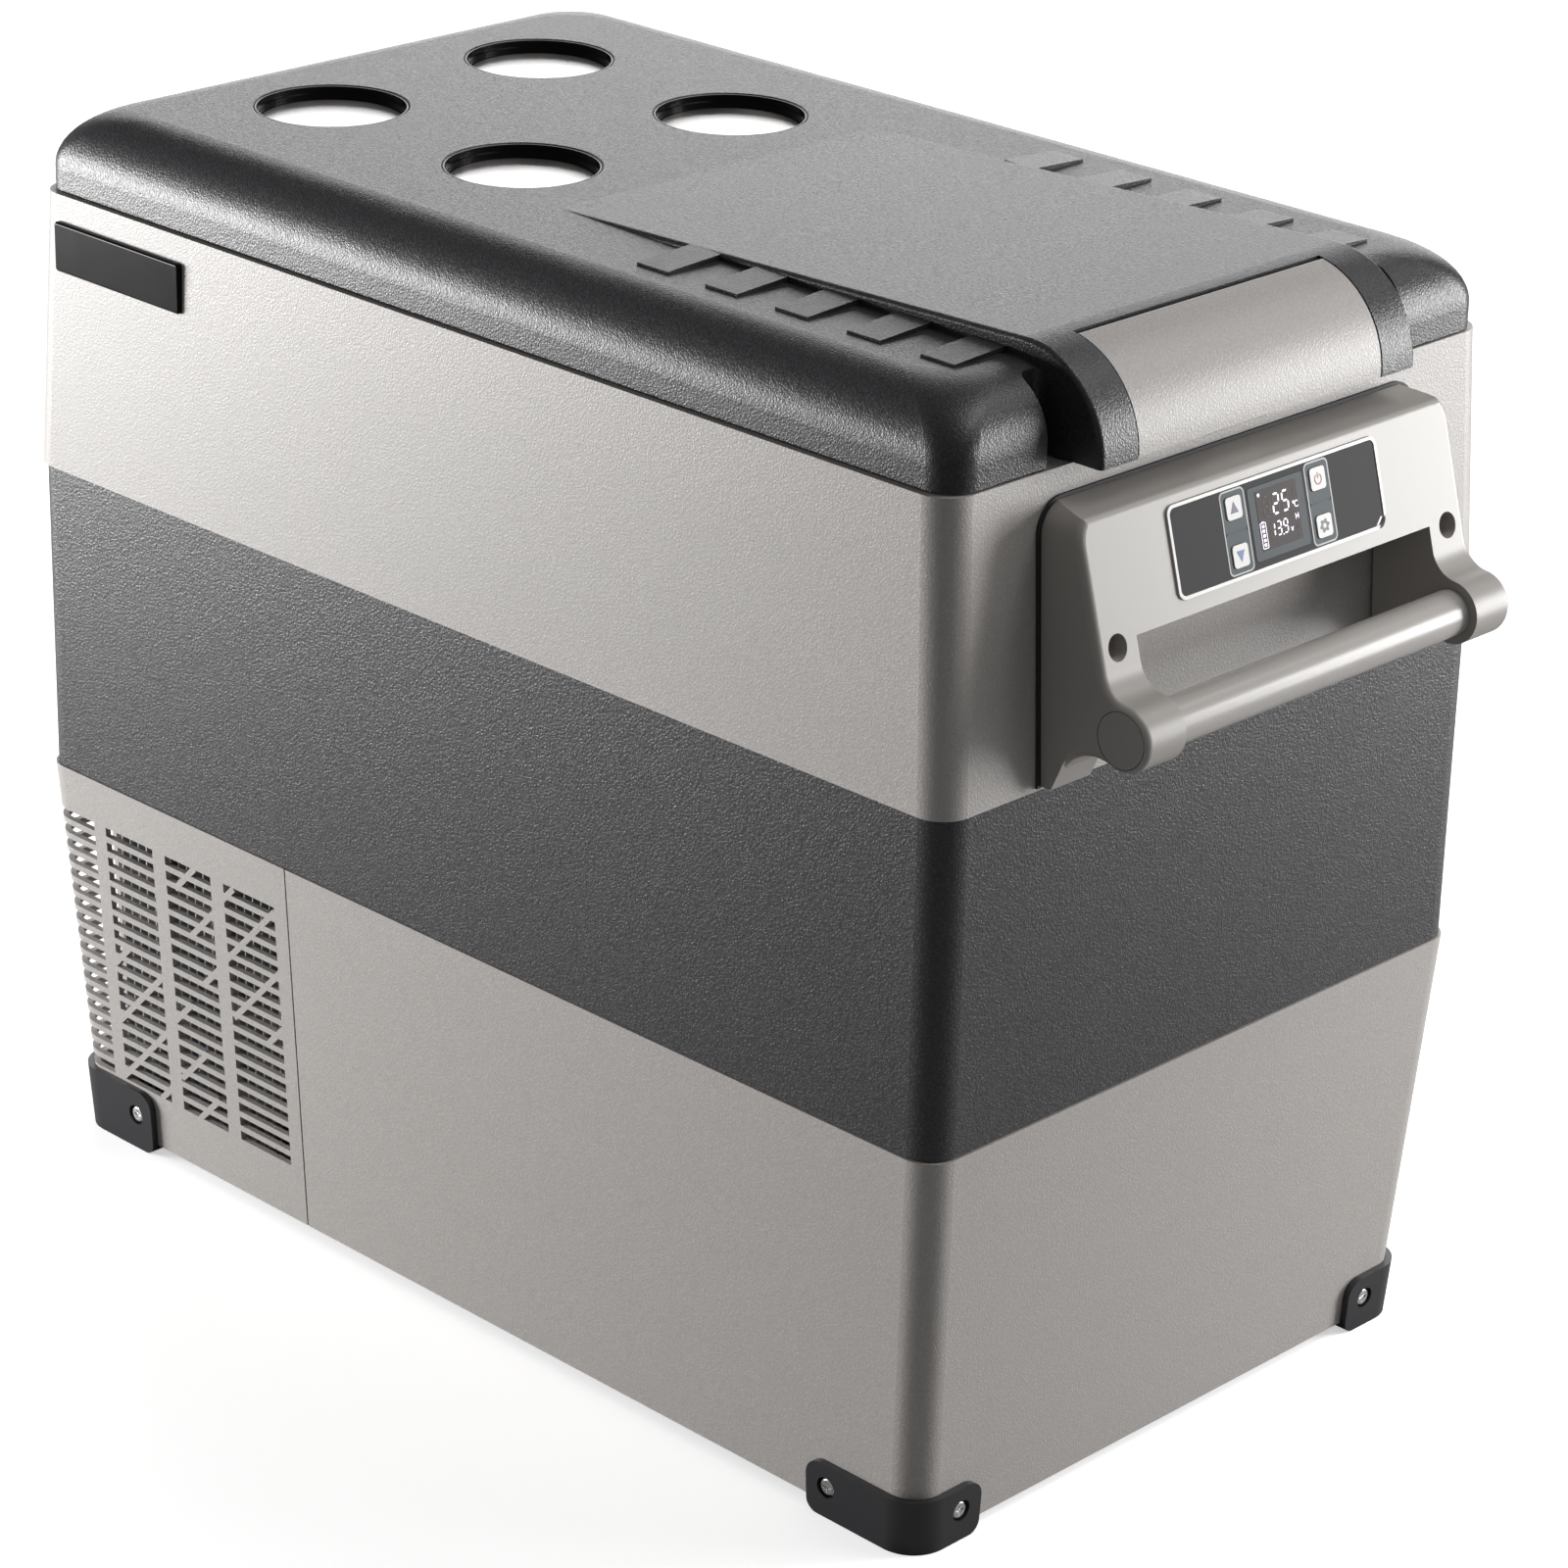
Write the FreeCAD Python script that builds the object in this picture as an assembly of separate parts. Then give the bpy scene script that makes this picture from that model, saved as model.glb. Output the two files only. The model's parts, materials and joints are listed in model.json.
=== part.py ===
"""Compressor cooler fridge: a portable 12 V / mains chest fridge with a hinged lid.

Frame: origin at the centre of the footprint on the ground, +Z up, +X towards the end with
the lid latch and the control panel, +Y towards the far long side. Millimetres.
"""
import FreeCAD, Part
import math
import os

V = FreeCAD.Vector

# ---------------------------------------------------------------- driving dimensions (mm)
FOOT_DROP = 5.0                 # ground to the underside of the body
SEAM_LOW = 197.0                # lower band to middle band
SEAM_HIGH = 352.0               # middle band to upper band
RIM = 487.5                     # top of the body
WALL = 3.0                      # outer shells
CORNER = 14.5                   # upright corners of the body
SEAM_GAP = 0.4                  # between two bands
BODY_BOTTOM = (286.5, 165.0)    # half length, half width at the bottom edge
BODY_LOWER_TOP = (298.3, 176.0)
BODY_MIDDLE = (297.3, 175.0)
BODY_UPPER_FOOT = (298.3, 176.8)
BODY_RIM = (290.8, 173.0)

LID_GAP = 0.9                   # rim to the lid's lower edge
LID_HALF = (290.0, 170.0)
LID_TOP = 525.5
LID_WALL = 3.0
LID_CORNER = 14.5                # upright corners at the lid's lower edge
LID_CORNER_SWELL = 0.55          # how much the corners widen as the top edge rolls in
LID_EDGE = 27.0                 # rounding of the lid's top edge

CONSOLE_TIP_X = -12.0           # where the raised panel leaves the lid top
CONSOLE_HALF = 101.0
CONSOLE_ROUND = 44.0            # the panel's roll-over at the latch end
CONSOLE_CENTRE = (263.5, 489.7)
ARM_INNER = 78.7                # the two arms beside the latch
NOTCH_OUTER = 114.5
NOTCH_DEPTH_X = 272.0

RIB_FIRST_X = 70.3
RIB_PITCH = 41.2
RIB_COUNT = 5
RIB_LENGTH = 18.9
RIB_OUTER_Y = 131.5

CUP_CENTRE_X = -138.8
CUP_OFFSET = 65.9
CUP_R = 36.0
CUP_DEPTH = 7.4                  # lid top to the cup floor
RIB_OUTER_RISE = 1.1             # the tabs slope up towards the raised panel
RIB_INNER_RISE = 2.7

HINGE_X = -296.0
HINGE_Z = 489.0
HINGE_Y = 110.0
HINGE_PIN_R = 2.0
KNUCKLE_R = 4.5

LATCH_X = 272.3
LATCH_Z = 530.3
LATCH_PIN_R = 1.2
LATCH_BARREL_R = 2.3
LATCH_HALF = 77.9
HOOK_HALF = 20.0

WELL_X = (-95.0, 255.0)         # inside of the deep well
STEP_X = -250.0                 # inside of the shallow compartment over the machinery
WELL_HALF_Y = 135.0
WELL_FLOOR = 45.0
STEP_FLOOR = 310.0
WELL_CORNER = 22.0
LINER = 2.0
LIGHT_X = 120.0                  # interior light, on the far long wall
LIGHT_Z = 451.0
COIL_LOW_Z = 70.0                # lowest loop of the evaporator
COIL_PITCH = 44.0
COIL_LOOPS = 5

BAY_X = (-283.0, -112.0)        # machinery bay
BAY_TOP = 285.0
VENT_SEAM_X = -116.2
VENT_SEAM_GAP = 0.9
VENT_ROWS = 18
VENT_TOP_Z = 173.5
VENT_PITCH = 7.9
VENT_SLOT = 4.7
VENT_COLUMNS = ((-253.0, -217.0), (-207.5, -173.0), (-163.5, -126.0))
VENT_WRAP_X = -263.0            # start of the slots that go round the corner
VENT_END_COLUMNS = ((46.0, 82.0), (92.0, 128.0))
VENT_WRAP_Y = 138.0
VENT_BRACE = 3.2
# lower end of each slanted brace and the distance it rises, in the plane of the long side
VENT_BRACES = (
    (-255, 98, 12), (-255, 66, 40), (-253, 37, 40), (-224, 35, 12), (-200, 159, 14),
    (-191, 136, 20), (-183, 113, 12), (-166, 163, 9), (-167, 130, 40), (-161, 103, 38),
    (-137, 97, 13), (-208, 84, 12), (-206, 53, 19), (-194, 35, 14),
)

INLET_HALF_Y = 33.0             # power inlets in the middle of the end face
INLET_Z = (84.0, 126.0)

PANEL_TILT = 15.6               # control panel leans back from upright, degrees
PANEL_CENTRE = (318.6, 0.0, 447.8)
PANEL_BEZEL = (67.5, 19.8)
PANEL_POCKET = 2.2
BEZEL_CHAMFER = 6.0              # cut lower corner of the bezel
KEY_U = 27.2
KEY_V = 10.1
KEY_SIZE = 9.6
SCREEN_HALF = (17.6, 15.5)

BRACKET_HALF = 119.7
BRACKET_LOW = 354.5
BRACKET_TOP = 475.4
ARM_IN_Y = 95.5
BAR_X = 340.4
BAR_Z = 387.0
BAR_R = 10.3
BOSS_R = 14.3
CAP_R = 12.1
HANDLE_SCREW = (107.5, 420.0)

ARM_BACK_X = 309.4               # where the scoop under the bar ends
BRACKET_EDGE = 3.5               # rounding of the bracket's front edges

BADGE_X = (-275.5, -184.0)
BADGE_Z = (451.0, 475.0)
BADGE_PROUD = 2.4

FOOT_WALL = 3.5
FOOT_FRONT = (225.0, 127.0, 27.5, 15.5)     # inner end x, inner end y, top z, screw z
FOOT_REAR = (231.0, 127.0, 33.0, 19.0)

FAN_CENTRE = (-200.0, 95.0)
FAN_Y = (-122.0, -97.0)
COMPRESSOR = (-200.0, 25.0, 56.0)           # x, y, radius
TRAY_Z = (8.6, 10.6)

nodes = {}


# ---------------------------------------------------------------- helpers
def box(x0, x1, y0, y1, z0, z1):
    return Part.makeBox(x1 - x0, y1 - y0, z1 - z0, V(x0, y0, z0))


def cylinder(radius, start, end):
    axis = V(*end) - V(*start)
    return Part.makeCylinder(radius, axis.Length, V(*start), axis)


def rounded_rectangle(half_x, half_y, z, radius, centre=(0.0, 0.0)):
    """Closed wire at height z, always started at the same corner so that wires loft."""
    cx, cy = centre
    k = radius * (1 - math.sqrt(0.5))
    edges = []
    for sx, sy in ((1, -1), (1, 1), (-1, 1), (-1, -1)):
        along_x = V(cx + sx * (half_x - radius), cy + sy * half_y, z)
        along_y = V(cx + sx * half_x, cy + sy * (half_y - radius), z)
        middle = V(cx + sx * (half_x - k), cy + sy * (half_y - k), z)
        ends = (along_x, along_y) if sx * sy < 0 else (along_y, along_x)
        if edges:
            edges.append(Part.LineSegment(last, ends[0]).toShape())
        else:
            first = ends[0]
        edges.append(Part.Arc(ends[0], middle, ends[1]).toShape())
        last = ends[1]
    edges.append(Part.LineSegment(last, first).toShape())
    return Part.Wire(edges)


def loft(levels, inset=0.0, radius=CORNER):
    """Solid through (z, half length, half width) levels, with straight sides."""
    corner = max(radius - inset, 1.0)
    pieces = []
    for low, high in zip(levels[:-1], levels[1:]):
        wires = [rounded_rectangle(hx - inset, hy - inset, z, corner) for z, hx, hy in (low, high)]
        pieces.append(Part.makeLoft(wires, True, True))
    return pieces[0] if len(pieces) == 1 else pieces[0].multiFuse(pieces[1:])


def between(low, high, z_low, z_high, z):
    t = (z - z_low) / (z_high - z_low)
    return [a + t * (b - a) for a, b in zip(low, high)]


def ring(levels, wall):
    """The loft's wall only, open at both ends."""
    (za, xa, ya), (zb, xb, yb) = levels
    below = between((xa, ya), (xb, yb), za, zb, za - 1)
    above = between((xa, ya), (xb, yb), za, zb, zb + 1)
    hollow = loft([(za - 1, *below), (zb + 1, *above)], wall)
    return loft(levels).cut(hollow)


def block(half_x, half_y, z0, z1, radius, centre=(0.0, 0.0)):
    face = Part.Face(rounded_rectangle(half_x, half_y, z0, radius, centre))
    return face.extrude(V(0, 0, z1 - z0))


def span_block(x0, x1, half_y, z0, z1, radius):
    return block((x1 - x0) / 2, half_y, z0, z1, radius, ((x0 + x1) / 2, 0.0))


def profile_xz(edges_or_points, y0, y1):
    """Extrudes a closed outline drawn in the XZ plane. A point triple in the list is an arc."""
    edges = []
    for item in edges_or_points:
        points = [V(x, y0, z) for x, z in item]
        edges.append((Part.Arc(*points) if len(points) == 3 else Part.LineSegment(*points)).toShape())
    return Part.Face(Part.Wire(edges)).extrude(V(0, y1 - y0, 0))


def outline(points):
    """Straight-sided closed outline as a list of two-point pieces."""
    return [(a, b) for a, b in zip(points, points[1:] + points[:1])]


def mirrored_y(shape):
    return shape.mirror(V(0, 0, 0), V(0, 1, 0))


def mirrored_x(shape):
    return shape.mirror(V(0, 0, 0), V(1, 0, 0))


def group(shapes):
    return Part.makeCompound(shapes)


def fuse(shapes):
    joined = shapes[0].multiFuse(shapes[1:])
    return joined.removeSplitter()


def tube(points, radius, bends):
    """Pipe along straight runs joined by tangent arcs."""
    pts = [V(*p) for p in points]
    edges = []
    start = pts[0]
    for a, b, c, bend in zip(pts[:-2], pts[1:-1], pts[2:], bends):
        into = (b - a).normalize()
        out = (c - b).normalize()
        turn = into.getAngle(out)
        cut = bend * math.tan(turn / 2)
        p = b - into * cut
        q = b + out * cut
        inward = (out - into).normalize()
        centre = b + inward * (bend / math.cos(turn / 2))
        middle = centre - inward * bend
        edges.append(Part.LineSegment(start, p).toShape())
        edges.append(Part.Arc(p, middle, q).toShape())
        start = q
    edges.append(Part.LineSegment(start, pts[-1]).toShape())
    path = Part.Wire(edges)
    section = Part.Wire(Part.makeCircle(radius, pts[0], pts[1] - pts[0]))
    return path.makePipeShell([section], True, False)


def rounded(shape, radius, wanted):
    """Fillets the edges that the test picks."""
    return shape.makeFillet(radius, [e for e in shape.Edges if wanted(e)])


def on_panel(shape):
    """Moves a shape drawn as u, v, w (right, up the face, out of it) onto the tilted panel."""
    t = math.radians(PANEL_TILT)
    s, c = math.sin(t), math.cos(t)
    x, y, z = PANEL_CENTRE
    placed = shape.copy()
    placed.transformShape(FreeCAD.Matrix(0, -s, c, x, 1, 0, 0, y, 0, c, s, z, 0, 0, 0, 1))
    return placed


def cross_screw(head_r, head_h, shank_r, shank_l):
    """Pan-head screw on +Z, seated at z = 0, with a cross recess."""
    head = Part.makeCylinder(head_r, head_h)
    head = rounded(head, head_h * 0.45, lambda e: e.BoundBox.ZMin > head_h - 0.01 and e.BoundBox.XLength > 1)
    slot = head_r * 0.62
    for long_x, long_y in ((slot, 0.5), (0.5, slot)):
        head = head.cut(box(-long_x, long_x, -long_y, long_y, head_h - 1.0, head_h + 1))
    return head.fuse(Part.makeCylinder(shank_r, shank_l + 0.2, V(0, 0, -shank_l))).removeSplitter()


def aimed(shape, position, direction):
    """Turns a shape drawn along +Z to a direction and moves it into place."""
    turned = shape.copy()
    turned.Placement = FreeCAD.Placement(V(*position), FreeCAD.Rotation(V(0, 0, 1), V(*direction)))
    return turned


# ---------------------------------------------------------------- body outline
def lower_half(z):
    return between(BODY_BOTTOM, BODY_LOWER_TOP, FOOT_DROP, SEAM_LOW, z)


def upper_half(z):
    return between(BODY_UPPER_FOOT, BODY_RIM, SEAM_HIGH, RIM, z)


def lower_levels(z0, z1, grow=0.0):
    return [(z, lower_half(z)[0] + grow, lower_half(z)[1] + grow) for z in (z0, z1)]


def upper_levels(z0, z1, grow=0.0):
    return [(z, upper_half(z)[0] + grow, upper_half(z)[1] + grow) for z in (z0, z1)]


def foot_numbers(front):
    return FOOT_FRONT if front else FOOT_REAR


def foot_screw_places():
    """(position on the body's surface, outward direction) of the eight foot screws."""
    places = []
    for sx in (-1, 1):
        inner_x, inner_y, _, z = foot_numbers(sx > 0)
        half_x, half_y = lower_half(z)
        for sy in (-1, 1):
            places.append(((sx * (inner_x + 12), sy * half_y, z), (0, sy, 0)))
            places.append(((sx * half_x, sy * (inner_y + 12.5), z), (sx, 0, 0)))
    return places


def shank_holes(radius):
    holes = []
    for place, out in foot_screw_places():
        start = V(*place) - V(*out) * 12
        end = V(*place) + V(*out) * 6
        holes.append(cylinder(radius, tuple(start), tuple(end)))
    return group(holes)


def lower_shell():
    shell = ring(lower_levels(FOOT_DROP, SEAM_LOW - SEAM_GAP / 2), WALL)
    return shell.cut(shank_holes(1.9))


def body_bands():
    seam = box(-400, VENT_SEAM_X + VENT_SEAM_GAP / 2, -300, 300, 0, 300)
    nodes["lower_band"] = lower_shell().cut(seam)
    middle = [(SEAM_LOW + SEAM_GAP / 2, *BODY_MIDDLE), (SEAM_HIGH - SEAM_GAP / 2, *BODY_MIDDLE)]
    nodes["middle_band"] = ring(middle, WALL)
    upper = ring(upper_levels(SEAM_HIGH + SEAM_GAP / 2, RIM), WALL)
    flange = block(BODY_RIM[0] - 1, BODY_RIM[1] - 1, RIM - WALL, RIM, CORNER - 1)
    upper = upper.fuse(flange)
    upper = upper.cut(span_block(STEP_X - 0.5, WELL_X[1] + 0.5, WELL_HALF_Y + 0.5, 470, 500, WELL_CORNER))
    upper = upper.cut(handle_screw_holes(2.6)).removeSplitter()
    nodes["upper_band"] = upper


def handle_screw_holes(radius):
    y, z = HANDLE_SCREW
    rods = []
    for sx in (-1, 1):
        for sy in (-1, 1):
            rods.append(cylinder(radius, (sx * 280, sy * y, z), (sx * 340, sy * y, z)))
    return group(rods)


# ---------------------------------------------------------------- vent cover
def vent_slots():
    """Rows of slots on both long sides, round the corners and on the end face."""
    cutters = []
    for row in range(VENT_ROWS):
        top = VENT_TOP_Z - row * VENT_PITCH
        low = top - VENT_SLOT
        for sy in (-1, 1):
            near, far = sorted((sy * 150, sy * 200))
            for x0, x1 in VENT_COLUMNS:
                cutters.append(box(x0, x1, near, far, low, top))
            wrap = box(-320, VENT_WRAP_X, near, far, low, top)
            corner_y0, corner_y1 = sorted((sy * VENT_WRAP_Y, sy * 200))
            wrap = wrap.fuse(box(-320, -262, corner_y0, corner_y1, low, top))
            cutters.append(wrap.removeSplitter())
            for y0, y1 in VENT_END_COLUMNS:
                end_y0, end_y1 = sorted((sy * y0, sy * y1))
                cutters.append(box(-320, -262, end_y0, end_y1, low, top))
    return cutters


def vent_braces():
    """Slanted bars that cross the slots on the long sides."""
    bars = []
    half = VENT_BRACE / math.sqrt(2)
    for x, z, rise in VENT_BRACES:
        corners = [(x - half, z), (x, z - half), (x + rise + half, z + rise), (x + rise, z + rise + half)]
        for y0, y1 in ((-200, -150), (150, 200)):
            bars.append(profile_xz(outline(corners), y0, y1))
    return bars


def vent_cover():
    side = lower_shell().cut(box(VENT_SEAM_X - VENT_SEAM_GAP / 2, 400, -300, 300, 0, 300))
    slots = group(vent_slots()).cut(group(vent_braces()))
    side = side.cut(slots)
    side = side.cut(box(-310, -270, -INLET_HALF_Y, INLET_HALF_Y, INLET_Z[0], INLET_Z[1]))
    nodes["vent_cover"] = side.removeSplitter()


# ---------------------------------------------------------------- power inlets on the end face
def power_inlets():
    z_mid = sum(INLET_Z) / 2
    face_x = -lower_half(z_mid)[0]
    low, high = INLET_Z
    plate = box(face_x - 1.5, face_x + 1.0, -INLET_HALF_Y - 5, INLET_HALF_Y + 5, low - 5, high + 5)
    plate = plate.cut(loft(lower_levels(60, 150, 0.1)))
    half_y = INLET_HALF_Y - 0.4
    body = box(face_x - 1.4, face_x + 20, -half_y, half_y, low + 0.4, high - 0.4)
    dc_y, ac_y = -15.0, 15.0
    dc_hole = box(face_x - 5, face_x + 16, dc_y - 9, dc_y + 9, z_mid - 6, z_mid + 6)
    ac_hole = box(face_x - 5, face_x + 16, ac_y - 10, ac_y + 10, z_mid - 7, z_mid + 7)
    nodes["inlet_plate"] = plate.fuse(body).cut(dc_hole).cut(ac_hole).removeSplitter()
    pins = []
    for y, spacing in ((dc_y, 3.5), (ac_y, 4.2)):
        for side in (-1, 1):
            pin_y = y + side * spacing
            pins.append(cylinder(1.2, (face_x + 4, pin_y, z_mid), (face_x + 16, pin_y, z_mid)))
    nodes["inlet_pins"] = group(pins)


# ---------------------------------------------------------------- base and feet
def base_plate():
    half_x, half_y = lower_half(FOOT_DROP)
    plate = block(half_x - WALL - 0.5, half_y - WALL - 0.5, FOOT_DROP, FOOT_DROP + 3, CORNER - WALL)
    slots = []
    for column in range(6):
        x = -264 + column * 24
        slots.append(box(x, x + 14, -60, 60, FOOT_DROP - 1, FOOT_DROP + 5))
    nodes["base_plate"] = plate.cut(group(slots))


def corner_feet():
    holes = shank_holes(5.2)
    for front in (True, False):
        inner_x, inner_y, top, _ = foot_numbers(front)
        skin = loft(lower_levels(0.0, top, FOOT_WALL), 0.0, CORNER + FOOT_WALL)
        skin = skin.cut(loft(lower_levels(FOOT_DROP - 0.2, 60, 0.2)))
        corner = box(inner_x, 320, -200, -inner_y, 0.0, top)
        corner = rounded(corner, 9.0, lambda e: is_inner_end(e, inner_x, -inner_y, top))
        corner = rounded(corner, 6.0, lambda e: is_inner_end(e, inner_x, -inner_y, 0.0))
        guard = skin.common(corner)
        pad = box(inner_x + 8, 270, -155, -inner_y - 8, 0.0, FOOT_DROP - 0.3)
        guard = guard.fuse(pad)
        if not front:
            guard = mirrored_x(guard)
        guard = guard.cut(holes).removeSplitter()
        end = "front" if front else "rear"
        nodes["foot_" + end + "_left"] = guard
        nodes["foot_" + end + "_right"] = mirrored_y(guard)
    screw = cross_screw(4.1, 2.2, 1.8, 3.4)
    screws = []
    for place, out in foot_screw_places():
        start = tuple(V(*place) + V(*out) * 0.4)
        screws.append(aimed(screw, start, out))
    nodes["foot_screws"] = group(screws)


def is_inner_end(edge, x, y, z):
    """Level edge at a height, at the end of a foot guard away from the corner."""
    span = edge.BoundBox
    if abs(span.ZMin - z) > 0.01 or span.ZLength > 0.01:
        return False
    return abs(span.XMax - x) < 0.01 or abs(span.YMin - y) < 0.01


# ---------------------------------------------------------------- inner liner and insulation
def well_solid(grow, top):
    """The cold space grown by a margin: a deep well and a shallow step over the bay."""
    radius = WELL_CORNER + grow
    deep = span_block(WELL_X[0] - grow, WELL_X[1] + grow, WELL_HALF_Y + grow, WELL_FLOOR - grow, top, radius)
    step = span_block(STEP_X - grow, WELL_X[1] + grow, WELL_HALF_Y + grow, STEP_FLOOR - grow, top, radius)
    return deep.fuse(step).removeSplitter()


def liner_and_foam():
    flange_z = RIM - WALL - 0.3
    skin = well_solid(LINER, flange_z)
    lap = 14.0
    x0, x1 = STEP_X - lap, WELL_X[1] + lap
    flange = span_block(x0, x1, WELL_HALF_Y + lap, flange_z - LINER, flange_z, WELL_CORNER + lap)
    liner = skin.fuse(flange).cut(well_solid(0.0, flange_z + 5))
    nodes["inner_liner"] = liner.cut(light_pocket()).removeSplitter()

    inset = WALL + 0.5
    lower = loft(lower_levels(FOOT_DROP + 3.5, SEAM_LOW), inset)
    middle = loft([(SEAM_LOW, *BODY_MIDDLE), (SEAM_HIGH, *BODY_MIDDLE)], inset + 0.2)
    upper = loft(upper_levels(SEAM_HIGH, flange_z - LINER - 0.4), inset)
    foam = lower.fuse(middle).fuse(upper)
    foam = foam.cut(well_solid(LINER + 0.4, 520))
    foam = foam.cut(box(-400, BAY_X[1], -300, 300, 0, BAY_TOP))
    foam = foam.cut(evaporator(2.0)).cut(light_pocket(2.0))
    nodes["foam_insulation"] = foam.removeSplitter()


def evaporator(extra=0.0):
    """Loops of tube round the deep well, joined by risers; grown by a margin for its groove."""
    gap = LINER + 6.5
    x0, x1 = WELL_X[0] - gap, WELL_X[1] + gap
    y = WELL_HALF_Y + gap
    loops = []
    radius = 4.0 + extra * 0.5
    for turn in range(COIL_LOOPS):
        z = COIL_LOW_Z + turn * COIL_PITCH
        centre_x = (x0 + x1) / 2
        path = rounded_rectangle((x1 - x0) / 2, y, z, 30.0, (centre_x, 0.0))
        start = path.OrderedVertexes[0].Point
        heading = path.OrderedEdges[0].tangentAt(path.OrderedEdges[0].FirstParameter)
        section = Part.Wire(Part.makeCircle(radius, start, heading))
        loops.append(path.makePipeShell([section], True, False))
    risers = []
    for turn in range(COIL_LOOPS - 1):
        z = COIL_LOW_Z + turn * COIL_PITCH
        y_at = 40.0 * (1 if turn % 2 else -1)
        risers.append(cylinder(radius - 1.2, (x0, y_at, z), (x0, y_at, z + COIL_PITCH)))
    return loops[0].multiFuse(loops[1:] + risers)


def light_pocket(extra=0.0):
    half_x, half_z = 24 + extra, 11 + extra
    y0, y1 = WELL_HALF_Y - 1, WELL_HALF_Y + 9 + extra
    return box(LIGHT_X - half_x, LIGHT_X + half_x, y0, y1, LIGHT_Z - half_z, LIGHT_Z + half_z)


def interior_light():
    y0, y1 = WELL_HALF_Y - 2.5, WELL_HALF_Y + 8
    lens = box(LIGHT_X - 23.5, LIGHT_X + 23.5, y0, y1, LIGHT_Z - 10.5, LIGHT_Z + 10.5)
    lens = rounded(lens, 2.0, lambda e: e.BoundBox.YMax < WELL_HALF_Y - 2.4)
    nodes["interior_light"] = lens


def basket():
    """Lift-out basket that hangs in the deep well: a slotted tub with a bail rim."""
    x0, x1 = WELL_X[0] + 8, WELL_X[1] - 8
    half_y = WELL_HALF_Y - 7
    low, high = WELL_FLOOR + 4, 296.0
    wall = 2.5
    outer = span_block(x0, x1, half_y, low, high, 16)
    inner = span_block(x0 + wall, x1 - wall, half_y - wall, low + wall, high + 1, 14)
    tub = outer.cut(inner)
    cutters = []
    rows = (low + 18, low + 82, low + 146)
    for z in rows:
        for i in range(9):
            x = x0 + 26 + i * 32.5
            cutters.append(box(x, x + 22, -200, 200, z, z + 50))
        for i in range(6):
            y = -105 + i * 36
            cutters.append(box(x0 - 5, x1 + 5, y, y + 24, z, z + 50))
    for i in range(9):
        for j in range(6):
            x = x0 + 26 + i * 32.5
            y = -105 + j * 36
            cutters.append(box(x, x + 22, y, y + 24, low - 2, low + wall + 2))
    nodes["well_basket"] = tub.cut(group(cutters)).removeSplitter()


# ---------------------------------------------------------------- cooling machinery
def compressor():
    x, y, r = COMPRESSOR
    base = 24.0
    pot = Part.makeCylinder(r, 112, V(x, y, base))
    pot = rounded(pot, 24.0, lambda e: e.BoundBox.XLength > r)
    seam = Part.makeCylinder(r + 2.5, 5, V(x, y, base + 62))
    feet = box(x - 74, x + 74, y - 40, y + 40, base - 1, base + 2)
    feet = feet.fuse(Part.makeCylinder(r - 26, 8, V(x, y, base - 1)))
    stub_a = cylinder(3.2, (x + r - 20, y - 20, base + 85), (x + r + 8, y - 20, base + 85))
    stub_b = cylinder(3.2, (x + r - 20, y + 20, base + 85), (x + r + 8, y + 20, base + 85))
    holes = []
    rubbers = []
    for sx in (-1, 1):
        for sy in (-1, 1):
            px, py = x + sx * 66, y + sy * 32
            holes.append(Part.makeCylinder(4.6, 12, V(px, py, base - 6)))
            stack = [Part.makeCylinder(8, 12.0, V(px, py, base - 13.2))]
            stack.append(Part.makeCylinder(4.4, 5.0, V(px, py, base - 1.5)))
            stack.append(Part.makeCylinder(7, 3.0, V(px, py, base + 2.2)))
            rubbers.append(fuse(stack).cut(Part.makeCylinder(2.6, 40, V(px, py, 0))))
    body = fuse([pot, seam, feet, stub_a, stub_b]).cut(group(holes))
    nodes["compressor"] = body
    nodes["compressor_grommets"] = group(rubbers)
    tray = box(BAY_X[0] + 8, BAY_X[1] - 6, -90, 95, TRAY_Z[0], TRAY_Z[1])
    nodes["compressor_tray"] = tray


def condenser():
    """Finned block beside the slots, its serpentine tube, and the fan in its frame."""
    x0, x1 = -272.0, -128.0
    y0, y1 = -150.0, -126.0
    z0, z1 = 24.0, 166.0
    levels = [z0 + 12 + i * 23.5 for i in range(6)]
    runs = []
    for z in levels:
        runs.append(cylinder(3.0, (x0 - 4, -138, z), (x1 + 4, -138, z)))
    for i, (low, high) in enumerate(zip(levels[:-1], levels[1:])):
        x = x1 + 4 if i % 2 == 0 else x0 - 4
        runs.append(cylinder(3.0, (x, -138, low - 3), (x, -138, high + 3)))
    nodes["condenser_tube"] = fuse(runs)
    holes = group([cylinder(3.05, (x0 - 9, -138, z), (x1 + 9, -138, z)) for z in levels])
    fins = []
    count = 24
    for i in range(count):
        x = x0 + i * (x1 - x0) / (count - 1)
        fins.append(box(x - 0.4, x + 0.4, y0, y1, z0, z1).cut(holes))
    nodes["condenser_fins"] = group(fins)


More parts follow.
